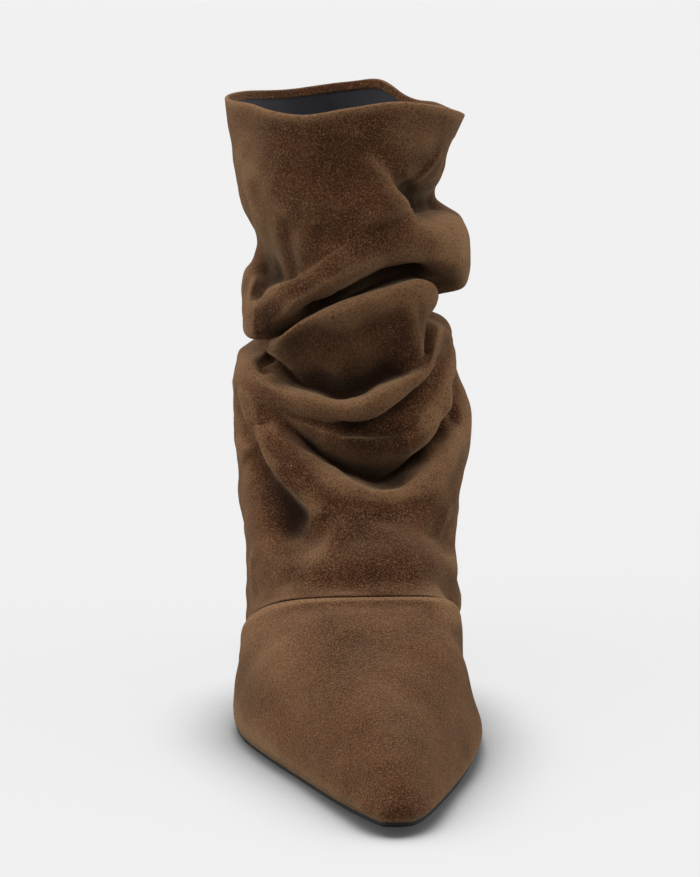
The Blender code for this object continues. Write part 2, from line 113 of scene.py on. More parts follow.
# Sections of the vamp, from the toe to the seam: where the section lies between the two, the crown's height as a
# share of VAMP_CROWN, its shift to the inner side and the flare of its feet as shares of the ball width, and the
# fullness of the arch's outer and inner half, 2 being an ellipse
VAMP_SECTIONS = (
    # share, crown height, crown shift, flare, outer fullness, inner fullness
    (0.00, 0.200, 0.061, 0.000, 2.0, 2.0),
    (0.02, 0.260, 0.061, 0.000, 2.0, 2.0),
    (0.08, 0.350, 0.060, 0.000, 2.0, 2.0),
    (0.20, 0.470, 0.056, 0.000, 2.0, 2.1),
    (0.36, 0.585, 0.050, 0.004, 2.1, 2.2),
    (0.52, 0.680, 0.044, 0.014, 2.2, 2.4),
    (0.68, 0.775, 0.038, 0.032, 2.5, 2.9),
    (0.84, 0.880, 0.034, 0.048, 3.4, 4.4),
    (1.00, 0.965, 0.030, 0.050, 4.0, 7.0),
)

ARCH_POINTS = 481            # points along one section of the vamp
FOOT_CROWDING = 1.15         # power by which the sections' feet crowd towards the toe
SWELL_IN = 0.1               # section at which the swell has come in behind the toe
SWELL_LOSS, LOSS_FROM, LOSS_OVER = 0.85, 0.6, 0.3    # share of it lost towards the seam, from and over which section
SWELL_RISE = 0.2             # share of a section's height at which the upper swells out furthest
TUCK_RISE = 0.3              # share of its height by which it is tucked in again
SLACK_FROM = 0.84            # section from which the leather stands wider towards the seam
SLACK_RISE = 0.6             # share of its height by which it does so in full

# Levels of the heel, from its foot to the seat: share of its height, how far its breast and its back lie ahead of
# the back of the seat, half its width, and the fullness of its corners
HEEL_SECTIONS = (
    # share, breast, back, half width, fullness
    (0.00, 0.0390, 0.0170, 0.0110, 2.6),
    (0.25, 0.0395, 0.0155, 0.0115, 2.6),
    (0.55, 0.0420, 0.0120, 0.0140, 2.6),
    (0.80, 0.0460, 0.0060, 0.0195, 2.5),
    (1.00, 0.0500, 0.0010, 0.0240, 2.4),
)

# The gathered leg. A heading is the compass direction round the leg's axis, 0 at the front and positive to the
# inner side. Each row is one line that runs round the leg, from the collar down, and gives its height in
# thousandths of BOOT_HEIGHT and its reach from the axis in thousandths of LEG_REACH at each heading.
HEADINGS = (-150, -120, -90, -70, -50, -42, -35, -20, 0, 20, 35, 50, 70, 90, 120, 150, 165, 180)
FOLD_HEIGHTS = (
    ("collar", 985, 993, 999, 1002, 1005, 1004, 1002, 999, 1011, 1020, 1012, 997, 980, 977, 977, 978, 1000, 994),
    ("cuff", 924, 932, 936, 938, 940, 939, 938, 935, 940, 945, 942, 930, 915, 915, 918, 918, 930, 928),
    ("leg", 840, 835, 830, 825, 825, 827, 830, 840, 865, 885, 890, 885, 880, 880, 870, 860, 855, 850),
    ("pocket", 770, 750, 735, 720, 712, 713, 718, 745, 800, 842, 838, 838, 834, 832, 820, 800, 792, 785),
    ("roll crest", 715, 705, 695, 694, 684, 696, 710, 736, 790, 826, 812, 806, 801, 795, 775, 750, 739, 730),
    ("roll lip", 660, 640, 627, 627, 621, 635, 652, 703, 746, 772, 763, 740, 693, 690, 690, 685, 681, 675),
    ("first cavity", 650, 622, 605, 603, 612, 620, 630, 660, 688, 714, 724, 702, 672, 665, 665, 665, 664, 662),
    ("second crest", 628, 610, 598, 596, 605, 612, 622, 660, 692, 718, 722, 688, 664, 655, 650, 645, 642, 638),
    ("bowl", 598, 590, 588, 587, 584, 582, 590, 612, 616, 649, 629, 645, 650, 649, 635, 615, 609, 605),
    ("second cavity", 570, 575, 580, 582, 573, 556, 540, 530, 519, 552, 580, 628, 636, 640, 615, 590, 583, 578),
    ("third crest", 545, 560, 565, 572, 565, 553, 542, 534, 523, 559, 578, 625, 615, 623, 595, 565, 556, 550),
    ("third lip", 510, 520, 515, 530, 524, 521, 518, 503, 497, 525, 561, 596, 600, 605, 570, 535, 523, 515),
    ("groove", 488, 495, 490, 508, 512, 503, 505, 490, 483, 510, 550, 580, 596, 597, 555, 515, 503, 495),
    ("fourth lip", 470, 475, 475, 487, 487, 489, 496, 478, 462, 458, 468, 510, 575, 585, 535, 495, 485, 478),
    ("fourth cavity", 455, 460, 468, 467, 470, 479, 484, 430, 392, 376, 405, 462, 545, 560, 515, 475, 466, 462),
    ("rim", 440, 448, 455, 448, 453, 463, 470, 432, 391, 376, 403, 440, 450, 475, 490, 460, 452, 446),
    ("edge", 420, 425, 430, 425, 430, 436, 432, 368, 348, 338, 350, 385, 395, 420, 450, 440, 435, 430),
    ("hollow", 400, 385, 350, 350, 388, 371, 349, 310, 318, 318, 290, 322, 330, 350, 400, 415, 414, 410),
    ("quarter", 375, 335, 270, 255, 250, 256, 262, 275, 287, 286, 262, 240, 240, 265, 340, 385, 394, 395),
)
FOLD_REACHES = (
    ("collar", 940, 920, 910, 920, 930, 968, 1000, 1020, 980, 1000, 1030, 980, 880, 760, 740, 840, 908, 960),
    ("cuff", 930, 900, 880, 890, 920, 958, 990, 1010, 980, 990, 980, 890, 750, 680, 720, 830, 892, 940),
    ("leg", 920, 870, 800, 800, 870, 915, 950, 980, 970, 980, 850, 800, 700, 660, 700, 820, 878, 920),
    ("pocket", 870, 760, 640, 600, 640, 690, 790, 920, 970, 980, 720, 680, 660, 620, 660, 790, 844, 880),
    ("roll crest", 980, 860, 760, 790, 930, 950, 960, 990, 990, 970, 960, 970, 880, 830, 820, 900, 939, 970),
    ("roll lip", 950, 840, 760, 820, 920, 938, 950, 990, 1000, 980, 980, 990, 890, 840, 800, 870, 909, 940),
    ("first cavity", 800, 700, 620, 640, 720, 740, 720, 700, 680, 710, 750, 720, 660, 600, 640, 740, 788, 820),
    ("second crest", 900, 740, 630, 640, 760, 849, 920, 970, 990, 990, 960, 880, 620, 550, 620, 780, 850, 900),
    ("bowl", 860, 740, 660, 660, 760, 780, 800, 830, 890, 930, 900, 700, 530, 500, 580, 740, 810, 860),
    ("second cavity", 780, 720, 680, 680, 680, 670, 660, 650, 660, 740, 860, 700, 620, 560, 600, 700, 746, 780),
    ("third crest", 920, 860, 820, 860, 920, 937, 950, 980, 1010, 1020, 970, 840, 760, 680, 700, 800, 855, 900),
    ("third lip", 940, 880, 860, 930, 945, 952, 960, 960, 990, 1010, 980, 840, 780, 720, 760, 860, 901, 930),
    ("groove", 840, 840, 850, 925, 945, 943, 940, 890, 890, 860, 850, 830, 780, 720, 740, 800, 824, 840),
    ("fourth lip", 920, 880, 850, 925, 945, 938, 920, 900, 950, 980, 1000, 940, 810, 740, 800, 880, 905, 920),
    ("fourth cavity", 840, 840, 850, 920, 942, 925, 905, 750, 700, 680, 720, 800, 800, 740, 760, 800, 817, 830),
    ("rim", 920, 870, 850, 915, 950, 968, 990, 1000, 1060, 1080, 1060, 1000, 940, 880, 860, 900, 918, 930),
    ("edge", 950, 860, 840, 890, 990, 995, 1000, 1060, 1130, 1140, 1100, 1000, 930, 860, 840, 920, 951, 970),
    ("hollow", 970, 850, 820, 860, 970, 1007, 1040, 1120, 1250, 1240, 1100, 990, 840, 790, 820, 960, 1002, 1020),
    ("quarter", 1000, 840, 790, 850, 980, 1083, 1180, 1360, 1500, 1460, 1280, 1000, 820, 750, 820, 980, 1039, 1070),
)


class Side(Enum):
    """Which side of a surface a visible face looks to."""

    OUT = 1
    IN = -1


# Curves and grids


def smooth_curve(knots: np.ndarray, values: np.ndarray, at: np.ndarray, period: float = 0.0) -> np.ndarray:
    """Cubic curve through the values at the knots, each slope being the mean of its neighbours' chords.

    Args:
        knots: rising positions of the values.
        values: one value, or one row of values, for each knot.
        at: positions to read.
        period: length after which the curve repeats, or 0 for an open one.

    Returns:
        The curve's values at the positions.
    """
    knots, values, at = (np.asarray(part, float) for part in (knots, values, at))
    if period:
        knots = np.concatenate([knots[-2:] - period, knots, knots[:2] + period])
        values = np.concatenate([values[-2:], values, values[:2]])
        at = (at - knots[2]) % period + knots[2]
    slope = np.gradient(values, knots, axis=0)
    cell = np.clip(np.searchsorted(knots, at, side="right") - 1, 0, len(knots) - 2)
    width = knots[cell + 1] - knots[cell]
    t = (at - knots[cell]) / width
    if values.ndim > 1:
        width, t = (part.reshape(-1, *[1] * (values.ndim - 1)) for part in (width, t))
    return (
        (1 + 2 * t) * (1 - t) ** 2 * values[cell]
        + t * (1 - t) ** 2 * width * slope[cell]
        + t * t * (3 - 2 * t) * values[cell + 1]
        + t * t * (t - 1) * width * slope[cell + 1]
    )


def ease(t: np.ndarray) -> np.ndarray:
    """Smooth step: 0 below 0, 1 above 1, with level ends."""
    t = np.clip(t, 0, 1)
    return t * t * (3 - 2 * t)


def unit(vectors: np.ndarray) -> np.ndarray:
    """The vectors at unit length."""
    return vectors / np.maximum(np.linalg.norm(vectors, axis=-1, keepdims=True), 1e-12)


def levelled(vectors: np.ndarray) -> np.ndarray:
    """The vectors laid flat, at unit length."""
    return unit(vectors * (1, 1, 0))


def from_front(heading: np.ndarray | float) -> np.ndarray:
    """Headings in degrees, brought between -180 and 180."""
    return (np.asarray(heading, float) + 180) % 360 - 180


def row_depths(grid: np.ndarray) -> np.ndarray:
    """How far each row of a grid lies from its first along the grid, in the mean of its columns."""
    return np.append(0, np.cumsum(np.linalg.norm(np.diff(grid, axis=0), axis=-1).mean(axis=1)))


def blurred(values: np.ndarray, passes: int, ring: bool) -> np.ndarray:
    """Mean of each grid value with its four neighbours, taken again and again.

    Args:
        values: grid of numbers or of vectors.
        passes: how many times the mean is taken.
        ring: True where the last column meets the first.

    Returns:
        The blurred grid.
    """
    more = ((0, 0),) * (values.ndim - 2)
    for _ in range(passes):
        tall = np.pad(values, ((1, 1), (0, 0), *more), mode="edge")
        wide = np.pad(values, ((0, 0), (1, 1), *more), mode="wrap" if ring else "edge")
        values = (4 * values + tall[:-2] + tall[2:] + wide[:, :-2] + wide[:, 2:]) / 8
    return values


def face_normals(grid: np.ndarray, ring: bool) -> np.ndarray:
    """Unit normals of a grid, as the cross product of its two central differences, on the side that is outside.

    Args:
        grid: points whose rows run down the boot and whose columns run from the outer side over the front.
        ring: True where the last column meets the first.

    Returns:
        One unit vector for each point.
    """
    down = np.gradient(grid, axis=0)
    along = (np.roll(grid, -1, axis=1) - np.roll(grid, 1, axis=1)) / 2 if ring else np.gradient(grid, axis=1)
    return unit(np.cross(down, along))


def through_lines(lines: np.ndarray, steps: list[int]) -> np.ndarray:
    """Rows of a smooth surface through the given lines.

    The curve from one line to the next is cubic, and its speed follows the square root of each stretch's length,
    so a short stretch beside a long one is joined without overshoot.

    Args:
        lines: points, as (line, column, xyz).
        steps: how many rows each stretch takes.

    Returns:
        Points, as (row, column, xyz).
    """
    speed = np.maximum(np.linalg.norm(np.diff(lines, axis=0), axis=-1), 1e-6)[..., None] ** 0.5
    chord = np.diff(lines, axis=0) / speed
    slope = np.empty_like(lines)
    slope[1:-1] = (chord[:-1] * speed[1:] + chord[1:] * speed[:-1]) / (speed[1:] + speed[:-1])
    slope[0], slope[-1] = chord[0], chord[-1]
    rows = []
    for k, count in enumerate(steps):
        t = (np.arange(count) / count)[:, None, None]
        rows.append(
            (1 + 2 * t) * (1 - t) ** 2 * lines[k]
            + t * (1 - t) ** 2 * speed[k] * slope[k]
            + t * t * (3 - 2 * t) * lines[k + 1]
            + t * t * (t - 1) * speed[k] * slope[k + 1]
        )
    return np.concatenate([*rows, lines[-1:]])


def rolling(points: np.ndarray, seed: int, wavelength: float, waves: int = 28) -> np.ndarray:
    """Soft random height over points in space: a sum of sine waves of about one length in random directions.

    Args:
        points: positions, as (..., xyz).
        seed: start of the random draws, so that each run is the same.
        wavelength: mean length of a wave.
        waves: how many waves are added.

    Returns:
        Heights with a spread of about 1.
    """
    draw = np.random.default_rng(seed)
    direction = unit(draw.normal(size=(waves, 3)))
    pace = 2 * math.pi / (wavelength * draw.uniform(0.7, 1.5, waves))
    phase = draw.uniform(0, 2 * math.pi, waves)
    return np.sin(points @ (direction * pace[:, None]).T + phase).sum(axis=-1) * math.sqrt(2 / waves)


# Meshes


def grid_faces(rows: int, columns: int, ring: bool) -> np.ndarray:
    """Quads over a grid whose points are numbered row by row.

    Args:
        rows: number of rows.
        columns: number of columns.
        ring: True where the last column meets the first.

    Returns:
        Point numbers, as (quad, 4).
    """
    row, column = np.meshgrid(np.arange(rows - 1), np.arange(columns - (not ring)), indexing="ij")
    here, beside = row * columns + column, row * columns + (column + 1) % columns
    return np.stack([here, here + columns, beside + columns, beside], axis=-1).reshape(-1, 4)


def add_grid(name: str, grid: np.ndarray, ring: bool, side: Side = Side.OUT) -> bpy.types.Object:
    """A smooth mesh object over a grid of points.

    Args:
        name: the object's name.
        grid: points, as (row, column, xyz).
        ring: True where the last column meets the first.
        side: whether its faces look out of the grid's outside or into its inside.

    Returns:
        The new object.
    """
    faces = grid_faces(*grid.shape[:2], ring)
    if side is Side.IN:
        faces = faces[:, ::-1]
    mesh = bpy.data.meshes.new(name)
    mesh.from_pydata(grid.reshape(-1, 3), [], faces)
    mesh.polygons.foreach_set("use_smooth", np.ones(len(mesh.polygons), bool))
    made = bpy.data.objects.new(name, mesh)
    bpy.context.scene.collection.objects.link(made)
    return made


def merge_close(piece: bpy.types.Object) -> None:
    """Makes the points of a piece that coincide, as at a pole, one."""
    shape = bmesh.new()
    shape.from_mesh(piece.data)
    bmesh.ops.remove_doubles(shape, verts=shape.verts, dist=1e-6)
    shape.to_mesh(piece.data)
    shape.free()


def store(piece: bpy.types.Object, name: str, values: np.ndarray) -> None:
    """Keeps one number for each point of a piece, for its material to read."""
    layer = piece.data.attributes.new(name, "FLOAT", "POINT")
    layer.data.foreach_set("value", np.ascontiguousarray(values, np.float32).reshape(-1))


def standing_out(grid: np.ndarray, ring: bool, passes: int, full: float) -> np.ndarray:
    """How far each point stands out of its blurred surroundings: 0 in a hollow, 0.5 on the level, 1 on a ridge.

    Args:
        grid: points, as (row, column, xyz).
        ring: True where the last column meets the first.
        passes: how wide the surroundings are.
        full: height that counts as a full ridge.

    Returns:
        One number for each point.
    """
    height = ((grid - blurred(grid, passes, ring)) * face_normals(grid, ring)).sum(axis=-1)
    return np.clip(0.5 + 0.5 * blurred(height, 4, ring) / full, 0, 1)


def sheltered(grid: np.ndarray, ring: bool, passes: int, full: float) -> np.ndarray:
    """How far each point lies inside a widely blurred surface: 0 on it or outside it, 1 deep in a hollow.

    Args:
        grid: points, as (row, column, xyz).
        ring: True where the last column meets the first.
        passes: how wide the blur is.
        full: depth that counts as a full hollow.

    Returns:
        One number for each point.
    """
    wide = blurred(grid, passes, ring)
    depth = ((wide - grid) * face_normals(wide, ring)).sum(axis=-1)
    return np.clip(blurred(depth, 3, ring) / full, 0, 1)


# The foot


def feather_edges(station: np.ndarray) -> tuple[np.ndarray, np.ndarray]:
    """The outer and inner x of the featherline.

    Args:
        station: distances from the toe tip.

    Returns:
        The outer side's x and the inner side's x, read from the outline table over the turn that makes both ends
        round.
    """
    table = np.array(OUTLINE)
    turn = np.arccos(1 - 2 * np.clip(table[:, 0], 0, 1))
    at = np.arccos(1 - 2 * np.clip(np.asarray(station) / FOOT_LENGTH, 0, 1))
    outer, inner = (BALL_WIDTH * smooth_curve(turn, table[:, k], at) for k in (1, 2))
    return outer, inner


def tread_height(station: np.ndarray) -> np.ndarray:
    """Height of the outsole's underside: the toe spring, the flat spot and the climb to the heel seat."""
    station = np.asarray(station, float)
    spring = TOE_SPRING * np.clip(1 - station / FLAT_FROM, 0, 1) ** 2
    climb = (HEEL_HEIGHT - SOLE_THICKNESS) * ease((station - FLAT_TO) / (SEAT_FROM - FLAT_TO))
    return spring + climb


def feather_height(station: np.ndarray) -> np.ndarray:
    """Height at which the upper starts, on top of the outsole."""
    return tread_height(station) + SOLE_THICKNESS + GAP


def to_frame(x: np.ndarray, station: np.ndarray, z: np.ndarray) -> np.ndarray:
    """Points of the boot's own frame from x, the distance behind the toe tip and z."""
    x, station, z = np.broadcast_arrays(x, station, z)
    return np.stack([x, station - HEEL_CENTRE, z], axis=-1)


def vamp_arch(share: float) -> np.ndarray:
    """One section of the vamp, from its outer featherline over the crown to the inner one.

    A superellipse stands on the two points of the featherline. It leans back at its feet as the seam is neared,
    swells a little above them and is tucked in above the swell.

    Args:
        share: place of the section, 0 at the toe tip and 1 at the seam.

    Returns:
        Its points.
    """
    table = np.array(VAMP_SECTIONS)
    knots = np.sqrt(table[:, 0])
    crown, shift, flare, outer_full, inner_full = (
        smooth_curve(knots, table[:, k], [math.sqrt(share)])[0] for k in (1, 2, 3, 4, 5)
    )
    top, foot = share * SEAM_TOP, share**FOOT_CROWDING * SEAM_FOOT
    turn = np.linspace(-1, 1, ARCH_POINTS) * math.pi / 2
    power = 2 / np.where(turn < 0, outer_full, inner_full)
    rise = np.clip(np.cos(turn), 0, 1) ** power
    spread = np.abs(np.sin(turn)) ** power
    station = foot + (top - foot) * rise
    outer, inner = feather_edges([foot])
    bulge = FEATHER_BULGE * min(1.0, share / SWELL_IN) * (1 - SWELL_LOSS * ease((share - LOSS_FROM) / LOSS_OVER))
    swell = bulge * (rise / SWELL_RISE) * np.exp(1 - rise / SWELL_RISE) * (1 - rise)
    middle = BALL_WIDTH * shift
    tuck = BALL_WIDTH * flare * (1 - np.exp(-((rise / TUCK_RISE) ** 2)))
    seamward = ease((share - SLACK_FROM) / (1 - SLACK_FROM))
    slack = np.where(turn < 0, *SEAM_SLACK) * seamward * ease(rise / SLACK_RISE)
    edge = np.where(turn < 0, middle - outer, inner - middle) + swell - tuck + slack
    base = feather_height(foot)
    return to_frame(middle + np.sign(turn) * edge * spread, station, base + (VAMP_CROWN * crown - base) * rise)


def vamp_row(share: float, across: np.ndarray) -> np.ndarray:
    """Points of one section of the vamp at even lengths along it.

    Args:
        share: place of the section, 0 at the toe tip and 1 at the seam.
        across: -1 at the outer foot, 0 on the crown and 1 at the inner foot.

    Returns:
        One point for each value of across.
    """
    arch = vamp_arch(share)
    length = np.append(0, np.cumsum(np.linalg.norm(np.diff(arch, axis=0), axis=-1)))
    middle = len(arch) // 2
    half = np.where(np.arange(len(arch)) < middle, length[middle], length[-1] - length[middle])
    place = (length - length[middle]) / half
    return np.stack([np.interp(across, place, arch[:, k]) for k in range(3)], axis=-1)


# Creases and hollows, pressed in one by one

PATH_POINTS = 90             # points at which a path is sampled
SPREAD = 3                   # widths beyond which a crease moves nothing
LETTING_GO = 0.45            # share of its reach over which a crease lets go of the furthest lines
OUT_OF_REACH = 1.0           # m, more than any crease is wide


@dataclass(frozen=True)
class Crease:
    """A soft ridge or trough along a path over a grid.

    The path is a smooth curve through its points. Each point of the grid is moved along its normal by the height
    times exp(-(distance / width) squared), with one width on each side of the path. The height fades to nothing at
    both ends, and on fold lines that lie further from the path's own than its reach.
    """

    path: tuple[tuple[float, float], ...]  # (column coordinate, row coordinate)
    height: float                          # mm, positive for a ridge
    widths: tuple[float, float]            # mm, to the left and to the right of the path's way
    reach: float = 1.6                     # furthest row coordinate away that is moved
    ends: tuple[float, float] = (0.2, 0.2)  # share of the path over which the height fades in and out

    def press(self, grid: np.ndarray, normals: np.ndarray, columns: np.ndarray, rows: np.ndarray) -> np.ndarray:
        """Height that this crease adds at each point of a grid.

        Args:
            grid: points, as (row, column, xyz).
            normals: unit vectors out of the grid.
            columns: column coordinate of each column.
            rows: row coordinate of each row.

        Returns:
            Heights in metres, as (row, column).
        """
        knots = np.linspace(0, 1, len(self.path))
        t = np.linspace(0, 1, PATH_POINTS)
        line = smooth_curve(knots, np.array(self.path), t)
        at_row = np.interp(line[:, 1], rows, np.arange(len(rows)))
        round_way = np.append(columns - columns[0], 360.0)
        at_column = np.interp((line[:, 0] - columns[0]) % 360, round_way, np.arange(len(columns) + 1))
        row, column = at_row.astype(int), at_column.astype(int)
        down, over = (at_row - row)[:, None], (at_column - column)[:, None]
        below, beside, column = np.minimum(row + 1, len(rows) - 1), (column + 1) % len(columns), column % len(columns)
        spine = (grid[row, column] * (1 - down) + grid[below, column] * down) * (1 - over) + (
            grid[row, beside] * (1 - down) + grid[below, beside] * down
        ) * over
        widest = max(self.widths) * MM
        near_row = np.flatnonzero((rows > line[:, 1].min() - self.reach) & (rows < line[:, 1].max() + self.reach))
        box = grid[near_row[0] : near_row[-1] + 1]
        spread = SPREAD * widest
        inside = np.all((box > spine.min(axis=0) - spread) & (box < spine.max(axis=0) + spread), axis=-1)
        picked = np.argwhere(inside) + (near_row[0], 0)
        points = grid[picked[:, 0], picked[:, 1]]
        apart = np.linalg.norm(points[:, None] - spine[None], axis=-1)
        layers = np.abs(rows[picked[:, 0]][:, None] - line[None, :, 1])
        apart = np.where(layers < self.reach, apart, OUT_OF_REACH)
        nearest = apart.argmin(axis=1)
        each = np.arange(len(points))
        distance = apart[each, nearest]
        held = ease((self.reach - layers[each, nearest]) / (LETTING_GO * self.reach))
        way = unit(np.gradient(spine, axis=0))[nearest]
        out = normals[picked[:, 0], picked[:, 1]]
        left = (np.cross(out, way) * (points - spine[nearest])).sum(axis=-1) > 0
        width = np.where(left, self.widths[0], self.widths[1]) * MM
        fade = ease(t[nearest] / max(self.ends[0], 1e-6)) * ease((1 - t[nearest]) / max(self.ends[1], 1e-6))
        raised = np.zeros(grid.shape[:2])
        raised[picked[:, 0], picked[:, 1]] = self.height * MM * fade * held * np.exp(-((distance / width) ** 2))
        return raised


def pressed(grid: np.ndarray, creases: tuple[Crease, ...], columns: np.ndarray, rows: np.ndarray) -> np.ndarray:
    """A grid with each crease pressed into it in turn.

    Args:
        grid: points of a ring, as (row, column, xyz).
        creases: ridges and troughs in order.
        columns: column coordinate of each column.
        rows: row coordinate of each row.

    Returns:
        The moved points.
    """
    for crease in creases:
        normals = blurred(face_normals(grid, True), 2, True)
        grid = grid + crease.press(grid, normals, columns, rows)[..., None] * normals
    return grid


# Creases of the leg, each named above it: the path in headings and in lines of the fold table, the height and the
# widths in mm
LEG_CREASES = (
    # diagonal ridge of the upper panel
    Crease(
        ((3.8, 0.88), (9.8, 1.22), (15, 1.67), (20.2, 2.35), (27, 3.27), (27.8, 4.07)),
        2.5, (1.7, 3.6), ends=(0.3, 0.2),
    ),
    # hollow beside it
    Crease(((17.2, 1.44), (22.5, 2.06), (42, 2.94), (59.4, 3), (84.6, 3.18)), -3.4, (3.4, 2.8), ends=(0.35, 0.15)),
    # fold across the hollow
    Crease(((45, 0.88), (40.5, 1.44), (35.2, 1.94), (28.5, 2.29)), 1.5, (2.6, 2), ends=(0.2, 0.3)),
    # upright trough at the left
    Crease(((-26.2, 2), (-29.2, 2.41), (-26.2, 3.64)), -1.3, (3.5, 4.5), ends=(0.3, 0.2)),
    # soft ridge beside it
    Crease(((-20.2, 2.18), (-21.8, 2.53), (-20.2, 2.94)), 1, (4.5, 2.5), ends=(0.3, 0.3)),
    # second trough
    Crease(((-12, 2.24), (-10.5, 2.82)), -0.9, (5, 5), ends=(0.4, 0.4)),
    # flat of the panel
    Crease(((-2.2, 0.44), (-3, 1.33), (-1.5, 2.29)), -1.3, (8, 10), ends=(0.3, 0.3)),
    # left edge of the panel
    Crease(((-61.2, 1.5), (-54, 2), (-61.2, 2.41), (-66.6, 3.09)), 1.4, (5.5, 2), ends=(0.3, 0.05)),
    # valley behind it
    Crease(((-95.4, 3.36), (-68.4, 3.45), (-37.5, 4.07)), -3, (2.6, 1.8), reach=1.2, ends=(0.3, 0.25)),
    # hollow under the third fold
    Crease(((-9, 11.5), (4.5, 12.38), (19.5, 12.75), (32.2, 12.75)), -3.6, (3.5, 5), reach=1.2, ends=(0.25, 0.2)),
    # edge at the end of the first roll
    Crease(((-45, 4), (-45, 4.53), (-48.6, 5.29)), 0.9, (1.6, 1.8), reach=0.9, ends=(0.15, 0.3)),
    # lip of the first roll
    Crease(
        ((-37.5, 5.29), (-26.2, 5.07), (-17.2, 5.14), (-8.2, 5.14), (0, 5.14), (13.5, 5.21), (22.5, 5.21),
         (29.2, 5.21), (41.2, 5.29)),
        1, (2, 1.5), reach=0.9, ends=(0.12, 0.15),
    ),
    # gap under the first roll
    Crease(
        ((-29.2, 5.43), (-20.2, 5.5), (-10.5, 5.57), (0, 5.5), (15.8, 5.57), (26.2, 5.57), (34.5, 5.57),
         (48.6, 5.5)),
        -3.2, (2.2, 3), reach=1, ends=(0.15, 0.15),
    ),
    # slit behind the left band
    Crease(((-61.2, 7.7), (-52.2, 9.5), (-41.2, 9.75)), -2.6, (1.8, 2.2), reach=1.2, ends=(0.25, 0.25)),
    # right edge of the second panel
    Crease(((26.2, 7.4), (30, 7.8), (36, 8.33), (37.5, 9.58)), 1.5, (1.6, 4.5), ends=(0.25, 0.1)),
    # fold down the right side
    Crease(
        ((57.6, 10.5), (68.4, 12.38), (64.8, 12.75), (57.6, 12.88), (48.6, 13), (52.2, 14.33)),
        1.5, (2, 3.2), ends=(0.12, 0.25),
    ),
    # valley right of it
    Crease(((61.2, 13), (54, 13), (59.4, 14.33), (52.2, 14.5)), -2.2, (2.4, 1.6), ends=(0.25, 0.25)),
    # long ridge at the left
    Crease(
        ((-55.8, 10.38), (-54, 11.67), (-48.6, 13.36), (-40.5, 15.56), (-35.2, 16.17), (-26.2, 16), (-20.2, 15.89),
         (-12.8, 16.08), (-7.5, 16.33)),
        2.4, (5.5, 2.2), ends=(0.12, 0.12),
    ),
    # deep hollow below it
    Crease(
        ((-46.8, 15.44), (-39.8, 16.5), (-30.8, 16.58), (-21.8, 16.5), (-14.2, 16.58)),
        -4.6, (3.2, 9), ends=(0.3, 0.2),
    ),
    # ridge below the hollow
    Crease(((-2.2, 16.17), (-5.2, 17.07), (-8.2, 17.53), (-13.5, 18.2)), 1.7, (4.5, 3.5), ends=(0.2, 0.35)),
    # small ridge at the right
    Crease(((46.8, 16.67), (39, 16.67), (24, 17.8)), 1.3, (2.2, 2.6), ends=(0.3, 0.3)),
    # dip beside it
    Crease(((50.4, 17.33), (36, 17.53)), -1.1, (3, 3), ends=(0.4, 0.4)),
    # upright ridge at the left
    Crease(((-39, 17.87), (-37.5, 18.4), (-27.8, 19.48)), 1, (2.2, 2.6), ends=(0.3, 0.1)),
    # swell at the right end of the seam
    Crease(((50, 18.5), (44, 18.8), (36, 19.2), (30, 19.5)), 2.8, (5, 5), ends=(0.3, 0.3)),
    # dip below the collar's corner
    Crease(((66, 0.5), (62, 1.1), (64, 1.8)), -1.9, (5, 5), ends=(0.3, 0.3)),
    # gap above the left loop
    Crease(((-125, 3.6), (-112, 3.8), (-100, 4.1)), -3.5, (4, 4), reach=1.2, ends=(0.3, 0.3)),
    # left side of the hanging folds
    Crease(
        ((-80, 9.8), (-78, 11.6), (-75, 13.2), (-74, 15), (-79, 16.2)),
        -1.8, (8, 8), reach=2.4, ends=(0.25, 0.25),
    ),
    # left side above the seam
    Crease(((-82, 17.2), (-72, 17.8), (-66, 18.3), (-58, 18.7)), -2.3, (8, 8), ends=(0.3, 0.3)),
    # rim of the third fold
    Crease(
        ((-38.2, 9.92), (-30, 9.67), (-18, 9.75), (-9, 9.75), (-2.2, 9.75), (10.5, 9.5), (17.2, 9.75), (24, 9.75),
         (35.2, 9.75)),
        0.8, (2.6, 2), reach=0.8, ends=(0.1, 0.1),
    ),
    # rim of the fourth fold
    Crease(
        ((-21, 14.83), (-14.2, 14.67), (-4.5, 14.67), (3, 15), (11.2, 15), (22.5, 14.83), (31.5, 14.92),
         (39.8, 14.92)),
        0.9, (2.4, 2), reach=0.8, ends=(0.1, 0.1),
    ),
)
